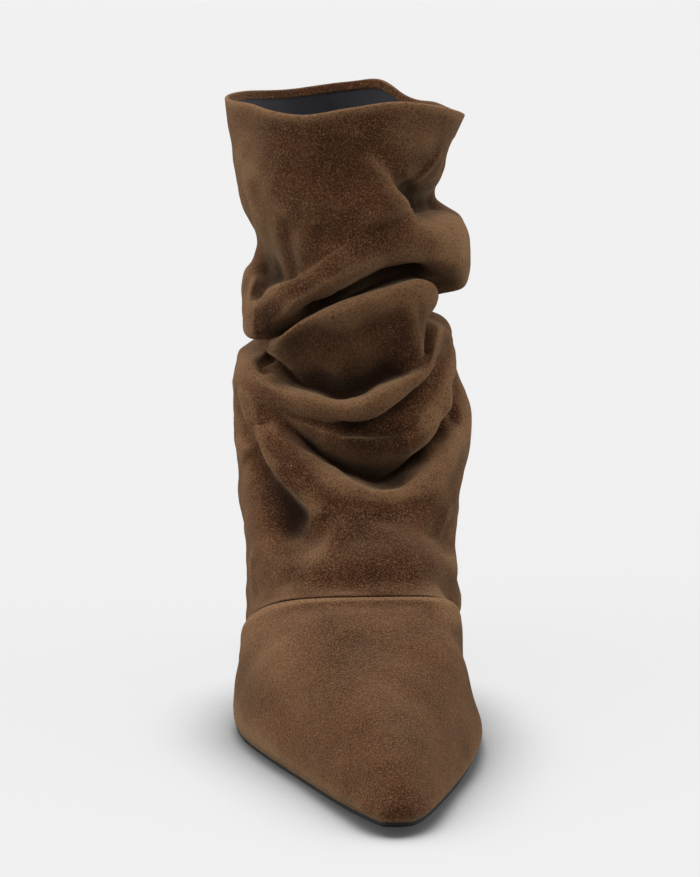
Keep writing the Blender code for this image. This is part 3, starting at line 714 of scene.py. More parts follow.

# Painted light and shade of the leg, with some darker pile in the low panel, each patch named above it and given as a
# crease is, its height now being how pale it is
LEG_LIGHT_AND_SHADE = (
    # painted shade and darker pile of the low panel
    Crease(((-6, 18.4), (7.5, 17.53), (27.8, 16.92)), -0.78, (23, 19), reach=2, ends=(0.3, 0.3)),
    # painted shade under the long ridge
    Crease(((-38.2, 15.11), (-24.8, 15.44), (-12.8, 15.67)), -0.4, (7, 5), reach=2, ends=(0.3, 0.3)),
    # painted light at the panel's left
    Crease(((-54, 0.31), (-54, 1.17), (-52.2, 1.72)), 0.36, (9, 9), reach=2, ends=(0.3, 0.3)),
    # painted light at the panel's right
    Crease(((14.2, 0.25), (27, 0.75), (42, 0.88)), 0.34, (10, 8), reach=2, ends=(0.3, 0.3)),
    # painted light on the bulge
    Crease(((63, 3.55), (48.6, 4.33), (46.8, 5.07)), 0.55, (9, 9), reach=2, ends=(0.3, 0.3)),
    # painted shade under the third fold
    Crease(((-14, 12.4), (4, 12.7), (20, 12.9), (34, 12.9)), -1.2, (7, 9), reach=2, ends=(0.3, 0.3)),
    # painted shade of the hollow at the left
    Crease(((-39, 16.5), (-30.8, 16.75), (-22.5, 16.92)), -1.15, (9, 9), reach=2, ends=(0.3, 0.3)),
    # painted shade in the pocket
    Crease(((27.8, 2.53), (46.8, 2.71), (48.6, 2.12)), -1.4, (6, 6), reach=2, ends=(0.3, 0.3)),
    # painted shadow behind the second panel's left edge
    Crease(((-39.8, 4.33), (-39, 4.73), (-42, 6.89)), -1.2, (5, 5), reach=2, ends=(0.3, 0.3)),
)

# Places where the leather is drawn smooth: heading, fold line, and how far each reaches in degrees and in lines
DRAWN_SMOOTH = (
    (52, 7.1, 8, 0.7),
    (5, 18.3, 28, 0.9),
)
SMOOTH_PASSES = 60           # of blur, which a smooth place is drawn towards

# Painted light and shade of the vamp, paler at its outer side and darker on the crown: place across it from -1 to 1,
# section, how wide and how long the patch is in each, and how pale it is
VAMP_LIGHT_AND_SHADE = (
    (-0.5, 0.72, 0.32, 0.24, 0.22),
    (0.05, 0.62, 0.35, 0.34, -0.26),
)


# Finishes


class NodeTree:
    """The nodes of a material or of the surroundings, added and linked in one call each."""

    def __init__(self, owner: bpy.types.Material | bpy.types.World) -> None:
        """Switches the owner's nodes on.

        Args:
            owner: what the nodes belong to.
        """
        owner.use_nodes = True
        self.nodes = owner.node_tree.nodes
        self.links = owner.node_tree.links

    def link(self, source: bpy.types.NodeSocket, target: bpy.types.NodeSocket) -> None:
        """Joins two sockets."""
        self.links.new(source, target)

    def between(
        self,
        source: bpy.types.NodeSocket,
        low: float,
        high: float,
        to_low: float = 0.0,
        to_high: float = 1.0,
        curve: str = "SMOOTHSTEP",
    ) -> bpy.types.NodeSocket:
        """A number carried from one range to another and held within it.

        Args:
            source: the socket to read.
            low: value that becomes to_low.
            high: value that becomes to_high.
            to_low: result at low.
            to_high: result at high.
            curve: how it goes from the one to the other.

        Returns:
            The result's socket.
        """
        ranged = self.nodes.new("ShaderNodeMapRange")
        ranged.interpolation_type = curve
        for socket, value in zip(ranged.inputs[1:5], (low, high, to_low, to_high)):
            socket.default_value = value
        self.link(source, ranged.inputs["Value"])
        return ranged.outputs["Result"]

    def calculate(self, operation: str, *values: bpy.types.NodeSocket | float) -> bpy.types.NodeSocket:
        """Result of a sum.

        Args:
            operation: the Math node's name for it.
            values: sockets and numbers, in the node's order.

        Returns:
            The result's socket.
        """
        maths = self.nodes.new("ShaderNodeMath")
        maths.operation = operation
        for value, socket in zip(values, maths.inputs):
            if isinstance(value, bpy.types.NodeSocket):
                self.link(value, socket)
            else:
                socket.default_value = value
        return maths.outputs["Value"]


class Surface(NodeTree):
    """A material's nodes around its Principled shader."""

    def __init__(self, name: str, viewport: Colour) -> None:
        """Starts a Principled material.

        Args:
            name: the material's name.
            viewport: its plain colour.
        """
        self.material = bpy.data.materials.new(name)
        super().__init__(self.material)
        self.material.diffuse_color = (*viewport, 1.0)
        self.shader = self.nodes["Principled BSDF"]
        self.set("Base Color", (*viewport, 1.0))

    def set(self, name: str, value: float | tuple[float, float, float, float]) -> None:
        """Sets one of the shader's own values."""
        self.shader.inputs[name].default_value = value

    def noise(self, scale: float, detail: float, roughness: float = 0.5) -> bpy.types.NodeSocket:
        """Output of a noise texture on the piece's own coordinates.

        Args:
            scale: waves to a metre.
            detail: octaves.
            roughness: weight of the finer octaves.

        Returns:
            The texture's Fac socket.
        """
        place = self.nodes.new("ShaderNodeTexCoord").outputs["Object"]
        texture = self.nodes.new("ShaderNodeTexNoise")
        texture.inputs["Scale"].default_value = scale
        texture.inputs["Detail"].default_value = detail
        texture.inputs["Roughness"].default_value = roughness
        self.link(place, texture.inputs["Vector"])
        return texture.outputs["Fac"]

    def attribute(self, name: str) -> bpy.types.NodeSocket:
        """Output of a number kept on the piece's points."""
        reader = self.nodes.new("ShaderNodeAttribute")
        reader.attribute_name = name
        return reader.outputs["Fac"]

    def mix(
        self,
        share: bpy.types.NodeSocket | float,
        first: bpy.types.NodeSocket | Colour,
        second: bpy.types.NodeSocket | Colour,
    ) -> bpy.types.NodeSocket:
        """Colour between two colours.

        Args:
            share: a socket or number, 0 for the first.
            first: a socket or colour.
            second: a socket or colour.

        Returns:
            The mixed colour's socket.
        """
        mixer = self.nodes.new("ShaderNodeMix")
        mixer.data_type = "RGBA"
        for value, socket in ((share, mixer.inputs[0]), (first, mixer.inputs[6]), (second, mixer.inputs[7])):
            if isinstance(value, bpy.types.NodeSocket):
                self.link(value, socket)
            else:
                socket.default_value = (*value, 1.0) if isinstance(value, tuple) else value
        return mixer.outputs[2]

    def bump(self, heights: list[tuple[bpy.types.NodeSocket, float]]) -> None:
        """Fine relief on the shader.

        Args:
            heights: for each layer, the socket that gives its height and how tall it is in metres.
        """
        before = None
        for source, tall in heights:
            layer = self.nodes.new("ShaderNodeBump")
            layer.inputs["Strength"].default_value = 1.0
            layer.inputs["Distance"].default_value = tall
            self.link(source, layer.inputs["Height"])
            if before is not None:
                self.link(before, layer.inputs["Normal"])
            before = layer.outputs["Normal"]
        self.link(before, self.shader.inputs["Normal"])


@dataclass(frozen=True)
class SuedeFinish:
    """Napped brown suede: dark where the pile lies one way and pale where it lies the other, paler on ridges, partly
    from wear and partly as a painted highlight, and darker in hollows and crevices as painted shade.
    """

    name: str = "brown suede"
    # colour of the painted shade deep in crevices
    deep: Colour = (0.012, 0.0050, 0.0025)
    dark: Colour = (0.046, 0.0155, 0.0064)
    brown: Colour = (0.109, 0.0410, 0.0172)
    pale: Colour = (0.310, 0.168, 0.083)
    sheen_tint: Colour = (0.80, 0.56, 0.33)
    sheen: float = 0.50
    sheen_roughness: float = 0.38
    specular: float = 0.15
    grain: float = 0.00040            # m, height of the flecks

    def build(self) -> bpy.types.Material:
        """The material, on the piece's own coordinates and on two of its attributes: one that makes ridges paler and
        hollows darker with painted light and shade, one for painted shade in crevices.
        """
        surface = Surface(self.name, self.brown)
        cloud = surface.noise(38.0, 3.0, 0.55)
        patch = surface.noise(190.0, 3.0, 0.6)
        fleck = surface.noise(1650.0, 3.0, 0.6)
        tips = surface.noise(2100.0, 1.0, 0.5)
        nap_and_painted_light = surface.noise(4200.0, 1.0, 0.5)
        rub_light_and_shade, crevice_shade = surface.attribute("rub_light_and_shade"), surface.attribute("crevice_shade")
        colour = surface.mix(surface.between(cloud, 0.32, 0.66, 0.16, 1.0), self.dark, self.brown)
        layers = (
            # what masks it, its values where the layer starts and is full, its most share, its colour
            (patch, 0.42, 0.72, 0.45, self.brown),
            # ridges and pale patches paler: partly wear, partly painted highlight
            (rub_light_and_shade, 0.50, 1.30, 0.95, self.pale),
            # hollows and dark patches darker: painted shade
            (rub_light_and_shade, 0.46, -0.35, 1.0, self.dark),
            (fleck, 0.48, 0.70, 0.58, self.pale),
            (fleck, 0.53, 0.32, 0.75, self.dark),
            (tips, 0.60, 0.74, 0.80, self.pale),
            # painted shade deep in crevices, in the seam's groove and under the vamp's lapped edge
            (crevice_shade, 0.12, 0.95, 0.85, self.deep),
        )
        for mask, start, full, most, over in layers:
            colour = surface.mix(surface.between(mask, start, full, 0.0, most), colour, over)
        surface.link(colour, surface.shader.inputs["Base Color"])
        surface.set("Roughness", 1.0)
        surface.set("Specular IOR Level", self.specular)
        surface.set("Sheen Weight", self.sheen)
        surface.set("Sheen Roughness", self.sheen_roughness)
        surface.set("Sheen Tint", (*self.sheen_tint, 1.0))
        surface.bump([(patch, self.grain * 0.6), (fleck, self.grain), (nap_and_painted_light, self.grain * 0.35)])
        return surface.material


@dataclass(frozen=True)
class LiningFinish:
    """Smooth slate-blue lining cloth with a fine weave."""

    name: str = "slate lining"
    colour: Colour = (0.014, 0.0145, 0.021)
    wear_and_highlight: Colour = (0.024, 0.025, 0.033)
    roughness: float = 0.8
    sheen: float = 0.25
    grain: float = 0.00006            # m, height of the weave

    def build(self) -> bpy.types.Material:
        """The material, with a fine grain and a little sheen."""
        surface = Surface(self.name, self.colour)
        cloud = surface.noise(60.0, 3.0)
        weave = surface.noise(2600.0, 1.0)
        colour = surface.mix(surface.between(cloud, 0.35, 0.68), self.colour, self.wear_and_highlight)
        surface.link(colour, surface.shader.inputs["Base Color"])
        surface.set("Roughness", self.roughness)
        surface.set("Sheen Weight", self.sheen)
        surface.bump([(weave, self.grain)])
        return surface.material


@dataclass(frozen=True)
class RubberFinish:
    """Matt black sole material with faint scuffs."""

    name: str = "black sole"
    colour: Colour = (0.010, 0.010, 0.011)
    scuffed: Colour = (0.030, 0.029, 0.028)
    roughness: float = 0.52
    grain: float = 0.00008            # m, depth of the scuffs

    def build(self) -> bpy.types.Material:
        """The material."""
        surface = Surface(self.name, self.colour)
        scuffs = surface.noise(320.0, 4.0, 0.65)
        colour = surface.mix(surface.between(scuffs, 0.5, 0.8, 0.0, 0.7), self.colour, self.scuffed)
        surface.link(colour, surface.shader.inputs["Base Color"])
        surface.set("Roughness", self.roughness)
        surface.bump([(scuffs, self.grain)])
        return surface.material


@dataclass(frozen=True)
class FloorFinish:
    """Plain pale floor that glows evenly from within, with a painted contact shadow where its glow falls off beside
    what stands on it.
    """

    name: str = "pale floor"
    colour: Colour = (0.12, 0.12, 0.12)
    glow: float = 0.755
    least_glow: float = 0.04          # right under the boot
    shade_reach: float = 0.040        # m from what stands on it
    shade_samples: int = 16

    def build(self) -> bpy.types.Material:
        """The material, whose glow falls off beside the boot as a painted shadow."""
        surface = Surface(self.name, self.colour)
        openness = surface.nodes.new("ShaderNodeAmbientOcclusion")
        openness.samples = self.shade_samples
        openness.inputs["Distance"].default_value = self.shade_reach
        # painted contact shadow: the glow is dimmed where the floor is hemmed in
        strength = surface.between(openness.outputs["AO"], 0.34, 1.0, self.least_glow, self.glow)
        surface.set("Emission Color", (1.0, 1.0, 1.0, 1.0))
        surface.link(strength, surface.shader.inputs["Emission Strength"])
        surface.set("Roughness", 0.9)
        surface.set("Specular IOR Level", 0.0)
        return surface.material


# The boot's pieces


def dress(piece: bpy.types.Object, material: bpy.types.Material, slot: str, *nodes: str) -> bpy.types.Object:
    """Gives a piece its finish and its body, and hides the solids that it stands for.

    Args:
        piece: the object.
        material: its finish.
        slot: not used.
        nodes: the solids that it stands for.

    Returns:
        The same object.
    """
    piece.data.materials.append(material)
    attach(piece, "root")
    if nodes:
        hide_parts(*nodes)
    return piece


# The seam's groove runs out towards the featherline, and the shade painted in it spreads further past it beside the
# crown
GROOVE_END, GROOVE_FADE = 43.0, 10.0     # heading at which the groove has run out, and over how many degrees
SHADE_PAST, SHADE_MORE = 0.3, 0.9        # mm past the groove on the crown, and what is added beside the crown
SHADE_FROM, SHADE_OVER = 12.0, 12.0      # heading from which it is added, and over how many degrees
THIN_SHARE, THIN_FROM, THIN_OVER = 0.5, 40.0, 14.0   # share lost near the seam's end, from and over which heading

# Foot of the leg's suede: how far in each line of the turned edge lies, in mm, and its share of the slip
HEM_LINES = ((0.0, 0.0), (0.4, 1.0), (3.2, 1.6))
UNDER_VAMP = 0.97            # section of the vamp that the edge points to at the seam


@dataclass
class Leg:
    """The shaft: quarters, heel cup and gathered leg, in suede with a cloth lining."""

    seam_columns: int = 120
    other_columns: int = 150
    row_length: float = 0.95 * MM
    row_counts: tuple[int, int] = (5, 22)        # fewest and most rows between two fold lines
    facing: float = 2.4 * MM          # suede turned in at the collar
    rim: float = 0.85 * MM            # radius of the collar's edge
    swell: float = 0.35 * MM          # soft unevenness of the leather
    calm_top: tuple[float, float] = (0.2, 1.5)   # fold line from which it comes in, and over how many
    calm_foot: float = 0.6            # fold lines above the foot over which it goes
    groove: float = 0.7 * MM          # how far the leg lies back beside the vamp's edge
    groove_length: float = 2.9 * MM   # how far up from the seam it does
    groove_wall: float = 0.8 * MM     # length over which it rises again
    seam_row_length: float = 0.40 * MM
    rim_points: int = 9               # over the collar's edge
    facing_hook: float = 0.9 * MM     # how far the facing's lower edge turns back to the wall
    facing_lift: float = 0.2 * MM     # how far it rises there
    slip_under: float = 0.35 * MM     # how far the foot slips under the vamp
    slip_down: float = 0.15 * MM      # how far it slips down at the featherline
    normal_passes: int = 14           # blur of the normals along which the inner face lies
    inner_passes: int = 3             # blur of the inner face itself
    lining_step: float = 0.35 * MM    # how far the lining starts outside the facing
    lining_depth: float = 3.4 * MM    # how far inside the outer face it lies further down
    lining_start: float = 0.6         # share of the facing behind which it starts
    lining_sinks: tuple[float, float] = (0.4, 1.2)       # fold line from which it sinks in, and over how many
    ridge_passes: int = 60              # how wide the surroundings are that a ridge stands out of
    ridge_height: float = 1.0 * MM
    crevice_passes: int = 260
    crevice_depth: float = 4.2 * MM
    collar_wear_and_highlight: float = 0.35          # how much paler the collar's edge is: partly wear, partly painted highlight
    collar_rows: float = 2.5          # over how many rows
    deep_shade_from: float = 0.6            # painted shade darker than this also darkens as the painted shade of crevices does
    heading: np.ndarray = field(init=False)
    steps: list[int] = field(init=False)
    outer: np.ndarray = field(init=False)
    sunk: np.ndarray = field(init=False)          # how far the leg lies back below the vamp's edge, by column
    seam_shade: np.ndarray = field(init=False)    # painted shade: 1 in the groove and 0 away from it

    def __post_init__(self) -> None:
        """Works out the outer face, from the collar down to the seam and the featherline."""
        front = np.linspace(-SEAM_CORNER, SEAM_CORNER, self.seam_columns + 1)
        rest = np.linspace(SEAM_CORNER, 360 - SEAM_CORNER, self.other_columns + 1)[1:-1]
        self.heading = np.concatenate([front, rest])
        lines = self.lines(self.heading)
        stretch = np.linalg.norm(np.diff(lines, axis=0), axis=-1).mean(axis=1)
        self.steps = [int(count) for count in np.clip(np.ceil(stretch / self.row_length), *self.row_counts)]
        self.steps[-1] = int(np.ceil(stretch[-1] / self.seam_row_length))
        grid = through_lines(lines, self.steps)
        rows = self.row_coordinates()
        grid = pressed(grid, LEG_CREASES, self.heading, rows)
        for heading, line, wide, tall in DRAWN_SMOOTH:
            aside = from_front(self.heading - heading)
            near = np.exp(-((aside / wide) ** 2) - ((rows[:, None] - line) / tall) ** 2)
            grid = grid + near[..., None] * (blurred(grid, SMOOTH_PASSES, True) - grid)
        first, over = self.calm_top
        quiet = (ease((rows - first) / over) * ease((len(lines) - 1 - rows) / self.calm_foot))[:, None]
        height = self.swell * (rolling(grid, 11, 0.030) + 0.5 * rolling(grid, 12, 0.012)) * quiet
        turned = np.abs(from_front(self.heading))
        away = np.linalg.norm(grid - grid[-1:], axis=-1)
        self.sunk = self.groove * ease((GROOVE_END - turned) / GROOVE_FADE)
        height = height - self.sunk * ease((self.groove_length - away) / self.groove_wall)
        # how far from the seam the painted shade of the groove reaches
        shaded = self.groove_length + (SHADE_PAST + SHADE_MORE * ease((turned - SHADE_FROM) / SHADE_OVER)) * MM
        shaded = shaded * (1 - THIN_SHARE * ease((turned - THIN_FROM) / THIN_OVER))
        self.seam_shade = ease((shaded - away) / self.groove_wall) * (turned <= SEAM_CORNER)
        self.outer = grid + height[..., None] * blurred(face_normals(grid, True), 2, True)

    def row_coordinates(self) -> np.ndarray:
        """Number of the fold-table line at each row, with shares between."""
        starts = [k + np.arange(count) / count for k, count in enumerate(self.steps)]
        return np.concatenate([*starts, [len(self.steps)]])

    def foot(self, heading: np.ndarray) -> np.ndarray:
        """Lowest line of the shaft: the vamp seam in front and the featherline behind.

        Args:
            heading: directions in degrees.

        Returns:
            One point for each heading.
        """
        heading = from_front(heading)
        seam = vamp_row(1.0, np.clip(heading / SEAM_CORNER, -1, 1))
        away = np.clip((np.abs(heading) - SEAM_CORNER) / (180 - SEAM_CORNER), 0, 1)
        station = SEAM_FOOT + (FOOT_LENGTH - SEAM_FOOT) * np.sin(away * math.pi / 2)
        outer, inner = feather_edges(station)
        rim = to_frame(np.where(heading < 0, outer, inner), station, feather_height(station))
        return np.where((np.abs(heading) <= SEAM_CORNER)[:, None], seam, rim)

    def lines(self, heading: np.ndarray) -> np.ndarray:
        """The lines that the shaft passes through, from the collar down.

        Args:
            heading: directions in degrees.

        Returns:
            Points, as (line, heading, xyz).
        """
        heights = np.array([row[1:] for row in FOLD_HEIGHTS]) / 1000
        reaches = np.array([row[1:] for row in FOLD_REACHES]) / 1000
        z = BOOT_HEIGHT * smooth_curve(HEADINGS, heights.T, heading, period=360).T
        reach = LEG_REACH * smooth_curve(HEADINGS, reaches.T, heading, period=360).T
        turn = np.radians(heading) - LEG_TURN
        lines = to_frame(reach * np.sin(turn), LEG_AXIS - reach * np.cos(turn), z)
        foot = self.foot(heading)
        climb = ANKLE_SHARE * (lines[-1] - foot)
        turned = from_front(heading)
        slope = unit(foot - vamp_row(SLOPE_FROM, np.clip(turned / SEAM_CORNER, -1, 1)))
        lead = ANKLE_LEAD * ease((SEAM_CORNER - np.abs(turned)) / LEAD_FADE)[:, None]
        ankle = foot + climb * (1 - lead) + slope * np.linalg.norm(climb, axis=-1, keepdims=True) * lead
        return np.concatenate([lines, ankle[None], foot[None]])

    def inner_face(self, depth: float, stride: int) -> np.ndarray:
        """The outer face moved into the boot along blurred normals.

        Args:
            depth: how far.
            stride: take every so many rows and columns.

        Returns:
            Points, as (row, column, xyz).
        """
        into = -blurred(face_normals(self.outer, True), self.normal_passes, True)
        into[0], into[-1] = levelled(into[0]), levelled(into[-1])
        moved = blurred(self.outer, self.inner_passes, True) + depth * into
        moved[0] = self.outer[0] + depth * into[0]
        return moved[::stride, ::stride]

    def add_suede(self, material: bpy.types.Material) -> bpy.types.Object:
        """The outside, rolled over the collar's edge and turned in as a facing, and turned under at the foot.

        Args:
            material: the suede.

        Returns:
            The piece.
        """
        top = self.outer[0]
        into = -levelled(blurred(face_normals(self.outer, True), 6, True)[0])
        turn = np.linspace(0, math.pi, self.rim_points)[:0:-1, None, None]
        lift = np.array([0.0, 0.0, 1.0])
        edge = top + self.rim * (1 - np.cos(turn)) * into + self.rim * np.sin(turn) * lift
        inner = self.inner_face(2 * self.rim, 1)
        drop = row_depths(inner)
        last = int(np.searchsorted(drop, self.facing))
        facing = inner[1 : last + 1][::-1]
        tuck = facing[0] - self.facing_hook * into + (0, 0, self.facing_lift)
        out, rows = face_normals(self.outer, True), self.row_coordinates()
        under = -levelled(out[-1])
        seam = np.abs(from_front(self.heading)) <= SEAM_CORNER
        under[seam] = unit(vamp_row(UNDER_VAMP, self.heading[seam] / SEAM_CORNER) - self.outer[-1][seam])
        slip = np.where(seam[:, None], -self.slip_under * out[-1], (0, 0, -self.slip_down))
        foot = self.outer[-1] - np.where(seam[:, None], 0, (0, 0, SOLE_COVER))
        hem = [foot + inwards * MM * under + share * slip for inwards, share in HEM_LINES]
        grid = np.concatenate([tuck[None], facing, edge, self.outer, np.array(hem)])
        piece = add_grid("leg_suede", grid, True)
        collar = len(grid) - len(hem) - len(self.outer)
        wear_and_highlight = np.exp(-(((np.arange(len(grid)) - collar) / self.collar_rows) ** 2))[:, None]
        # painted light and shade patches of the leg
        nap_and_painted_light = sum(patch.press(self.outer, out, self.heading, rows) for patch in LEG_LIGHT_AND_SHADE) / MM
        margins = ((collar, len(hem)), (0, 0))
        shade, nap_and_painted_light = (np.pad(part, margins, mode="edge") for part in (self.seam_shade, nap_and_painted_light))
        # paler on ridges and darker in hollows, with the painted light and shade patches added
        rub_light_and_shade = standing_out(grid, True, self.ridge_passes, self.ridge_height) + nap_and_painted_light
        # the collar's edge paler: partly wear, partly painted highlight
        store(piece, "rub_light_and_shade", rub_light_and_shade * (1 - shade) + self.collar_wear_and_highlight * wear_and_highlight)
        # painted shade deep in crevices, in the seam's groove and under the darkest painted patches
        crevice_shade = np.maximum(sheltered(grid, True, self.crevice_passes, self.crevice_depth), shade)
        store(piece, "crevice_shade", np.maximum(crevice_shade, np.clip(-nap_and_painted_light - self.deep_shade_from, 0, 1)))
        return dress(piece, material, "suede", "shaft")

    def add_lining(self, material: bpy.types.Material) -> bpy.types.Object:
        """The cloth inside the leg, from under the facing down to the insole.

        Args:
            material: the lining cloth.

        Returns:
            The piece.
        """
        face = self.inner_face(2 * self.rim - self.lining_step, 2)
        line, over = self.lining_sinks
        sinking = ease((self.row_coordinates()[::2] - line) / over)[:, None, None]
        face = face + sinking * (self.inner_face(self.lining_depth, 2) - face)
        drop = row_depths(face)
        first = int(np.searchsorted(drop, self.facing * self.lining_start))
        piece = add_grid("leg_lining", face[first:], True, Side.IN)
        return dress(piece, material, "insole")


# The vamp's lapped edge: how far each point reaches over the leg as a share of the lap, and how high it stands as a
# share of the stand
LAPPED_EDGE = ((0.35, 1.0), (0.7, 0.96), (0.9, 0.75), (1.0, 0.4), (1.03, 0.0), (1.0, -0.6), (0.8, -1.0))


@dataclass
class Vamp:
    """The suede over the toes, whose back edge laps the leg as a raised seam."""

    leg: Leg
    rows: int = 190
    crowding: float = 1.5             # power by which the rows crowd towards the toe
    lap: float = 0.9 * MM             # how far it laps the leg
    stand: float = 0.9 * MM           # how proud its edge stands
    welt: float = 3.2 * MM            # how far the raised edge reaches over the vamp
    swell: float = 0.22 * MM
    calm: float = 12 * MM             # length beside the seam over which the unevenness comes in
    calm_sides: float = 0.12          # share across it over which it goes at both sides
    calm_toe: float = 0.05            # section behind the toe tip by which it is in
    shade_at: float = 0.35            # share of the stand below which the lapped edge gets painted shade
    edge_wear_and_highlight: float = 0.6             # how much paler it is above that: partly wear, partly painted highlight
    edge_pale_reach: float = 1.8 * MM       # how far from it
    hem_corner: float = 0.3 * MM      # how far in the foot's small corner reaches
    hem_drop: float = 0.15 * MM       # how far it drops there
    hem: float = 2.7 * MM             # how far in the foot is turned under beyond it
    ridge_passes: int = 50
    ridge_height: float = 0.8 * MM
    lining_columns: int = 61
    lining_rows: int = 60
    lining_end: float = 0.06          # section at which the lining ends behind the toe tip
    lining_depth: float = 1.7 * MM

    def face(self) -> np.ndarray:
        """The outer face, from the seam to the toe tip, with the soft unevenness of lasted leather."""
        across = self.leg.heading[: self.leg.seam_columns + 1] / SEAM_CORNER
        shares = np.linspace(0, 1, self.rows) ** self.crowding
        grid = np.array([vamp_row(share, across) for share in shares[::-1]])
        normals = blurred(face_normals(grid, False), 1, False)
        normals[-1] = (0, -1, 0)
        away = np.linalg.norm(grid - grid[:1], axis=-1)
        raised = self.stand * np.exp(-((away / self.welt) ** 2))
        inside = ease((1 - np.abs(across)) / self.calm_sides)
        quiet = ease(away / self.calm) * inside * ease(shares[::-1] / self.calm_toe)[:, None]
        uneven = self.swell * (rolling(grid, 21, 0.034) + 0.4 * rolling(grid, 22, 0.014)) * quiet
        return grid + (raised + uneven)[..., None] * normals

    def add_suede(self, material: bpy.types.Material) -> bpy.types.Object:
        """The outside with its lapped back edge and with its foot turned under all round.

        Args:
            material: the suede.

        Returns:
            The piece.
        """
        grid = self.face()
        columns = self.leg.seam_columns + 1
        across = self.leg.heading[:columns] / SEAM_CORNER
        above = self.leg.outer[::-1, :columns]
        normals = face_normals(self.leg.outer, True)[::-1, :columns]
        length = np.cumsum(np.linalg.norm(np.diff(above, axis=0), axis=-1), axis=0)
        lapped = []
        for far, out in LAPPED_EDGE:
            row = (length < far * self.lap).sum(axis=0)
            column = np.arange(columns)
            before = np.where(row > 0, length[row - 1, column], 0.0)
            share = ((far * self.lap - before) / (length[row, column] - before))[:, None]
            base = above[row, column] * (1 - share) + above[row + 1, column] * share
            lapped.append(base + (self.leg.sunk[:columns] + self.stand * out)[:, None] * normals[row, column])
        grid = np.concatenate([np.array(lapped)[::-1], grid])
        away = np.linalg.norm(grid - grid[len(lapped) : len(lapped) + 1], axis=-1)
        low = np.pad(np.array([out for _, out in LAPPED_EDGE])[::-1], (0, len(grid) - len(lapped)), constant_values=1)
        # the lower part of the lapped edge gets painted shade, the edge above it a paler band
        shade = np.broadcast_to(ease((self.shade_at - low) / (2 * self.shade_at))[:, None], away.shape)
        wear_and_highlight = np.exp(-((away / self.edge_pale_reach) ** 2)) * (1 - shade)
        into = -levelled(face_normals(grid, False)[:, [0, -1]])
        into[-1] = (0, 1, 0)
        foot = grid[:, [0, -1]]
        hang = foot - (0, 0, SOLE_COVER)
        near = hang + self.hem_corner * into - (0, 0, self.hem_drop)
        far = near + self.hem * into
        turned = [far[:, :1], near[:, :1], hang[:, :1], grid, hang[:, 1:], near[:, 1:], far[:, 1:]]
        grid = np.concatenate(turned, axis=1)
        piece = add_grid("vamp_suede", grid, False)
        wear_and_highlight, shade = (np.pad(part, ((0, 0), (3, 3)), mode="edge") for part in (wear_and_highlight, shade))
        place = np.pad(across, 3, mode="edge")
        shares = np.pad(np.linspace(1, 0, self.rows) ** self.crowding, (len(lapped), 0), mode="edge")[:, None]
        # painted light and shade of the vamp
        painted_light = sum(
            pale * np.exp(-(((place - aside) / wide) ** 2) - ((shares - section) / long) ** 2)
            for aside, section, wide, long, pale in VAMP_LIGHT_AND_SHADE
        )
        # the lapped edge paler: partly wear, partly painted highlight
        rub_light_and_shade = standing_out(grid, False, self.ridge_passes, self.ridge_height) + self.edge_wear_and_highlight * wear_and_highlight + painted_light
        store(piece, "rub_light_and_shade", rub_light_and_shade * (1 - shade))
        # painted shade under the lapped edge
        store(piece, "crevice_shade", shade)
        merge_close(piece)
        return dress(piece, material, "suede", "vamp")

    def add_lining(self, material: bpy.types.Material) -> bpy.types.Object:
        """The cloth inside the toe.

        Args:
            material: the lining cloth.

        Returns:
            The piece.
        """
        across = np.linspace(-1, 1, self.lining_columns)
        grid = np.array([vamp_row(share, across) for share in np.linspace(1, self.lining_end, self.lining_rows)])
        into = -blurred(face_normals(grid, False), 3, False)
        piece = add_grid("vamp_lining", grid + self.lining_depth * into, False, Side.IN)
        return dress(piece, material, "insole")


@dataclass
class Sole:
    """The outsole, with its edge rounded."""

    columns: int = 260
    round_edge: float = 0.6 * MM
    inset: float = 0.3 * MM           # how far its edge lies inside the featherline
    face_rows: int = 8                # over each face, from its middle line to its edge
    edge_rows: int = 5                # over each rounded edge
    spine_shift: float = 5 * MM       # how far to the inner side the middle line starts at the toe
    spine_ends: tuple[float, float] = (0.012, 0.238)     # where the middle line starts and ends, from the toe tip

    def outline(self, inset: float) -> np.ndarray:
        """The featherline moved in, as a closed line of x and station.

        Args:
            inset: how far in.

        Returns:
            Points, as (column, 2).
        """
        turn = np.linspace(0, 2 * math.pi, self.columns, endpoint=False)
        station = FOOT_LENGTH * (1 - np.cos(turn)) / 2
        outer, inner = feather_edges(station)
        line = np.stack([np.where(turn < math.pi, outer, inner), station], axis=-1)
        run = unit(np.roll(line, -1, axis=0) - np.roll(line, 1, axis=0))
        return line + inset * np.stack([run[:, 1], -run[:, 0]], axis=-1)

    def add_outsole(self, material: bpy.types.Material) -> bpy.types.Object:
        """The outsole as a profile carried round its outline, closed over both faces.

        Args:
            material: the sole's finish.

        Returns:
            The piece.
        """
        line = self.outline(self.inset)
        inner = self.outline(self.inset + self.round_edge)
        middle = np.interp(line[:, 1], (0, FOOT_LENGTH), (self.spine_shift, 0.0))
        spine = np.stack([middle, np.clip(line[:, 1], *self.spine_ends)], axis=-1)
        fan = [spine + (inner - spine) * share for share in np.linspace(0, 1, self.face_rows)[:-1]]
        turn = np.linspace(0, math.pi / 2, self.edge_rows)
        bend = [(inner + (line - inner) * math.sin(a), self.round_edge * (1 - math.cos(a))) for a in turn]
        lower = [(flat, 0.0) for flat in fan] + bend
        upper = [(flat, SOLE_THICKNESS - up) for flat, up in lower[::-1]]
        rows = lower + upper
        grid = np.array([to_frame(p[:, 0], p[:, 1], tread_height(p[:, 1]) + up) for p, up in rows])
        piece = add_grid("outsole_black", grid, True, Side.IN)
        merge_close(piece)
        return dress(piece, material, "outsole", "outsole")


# Outline of the top lift, from the middle of its underside: how far in and how high each line lies, in mm
LIFT_LINES = ((6, 0.0), (0.8, 0.0), (0.25, 0.15), (0.0, 0.7), (0.0, 4.6), (0.2, 4.9), (0.8, 5.0), (6, 5.0))


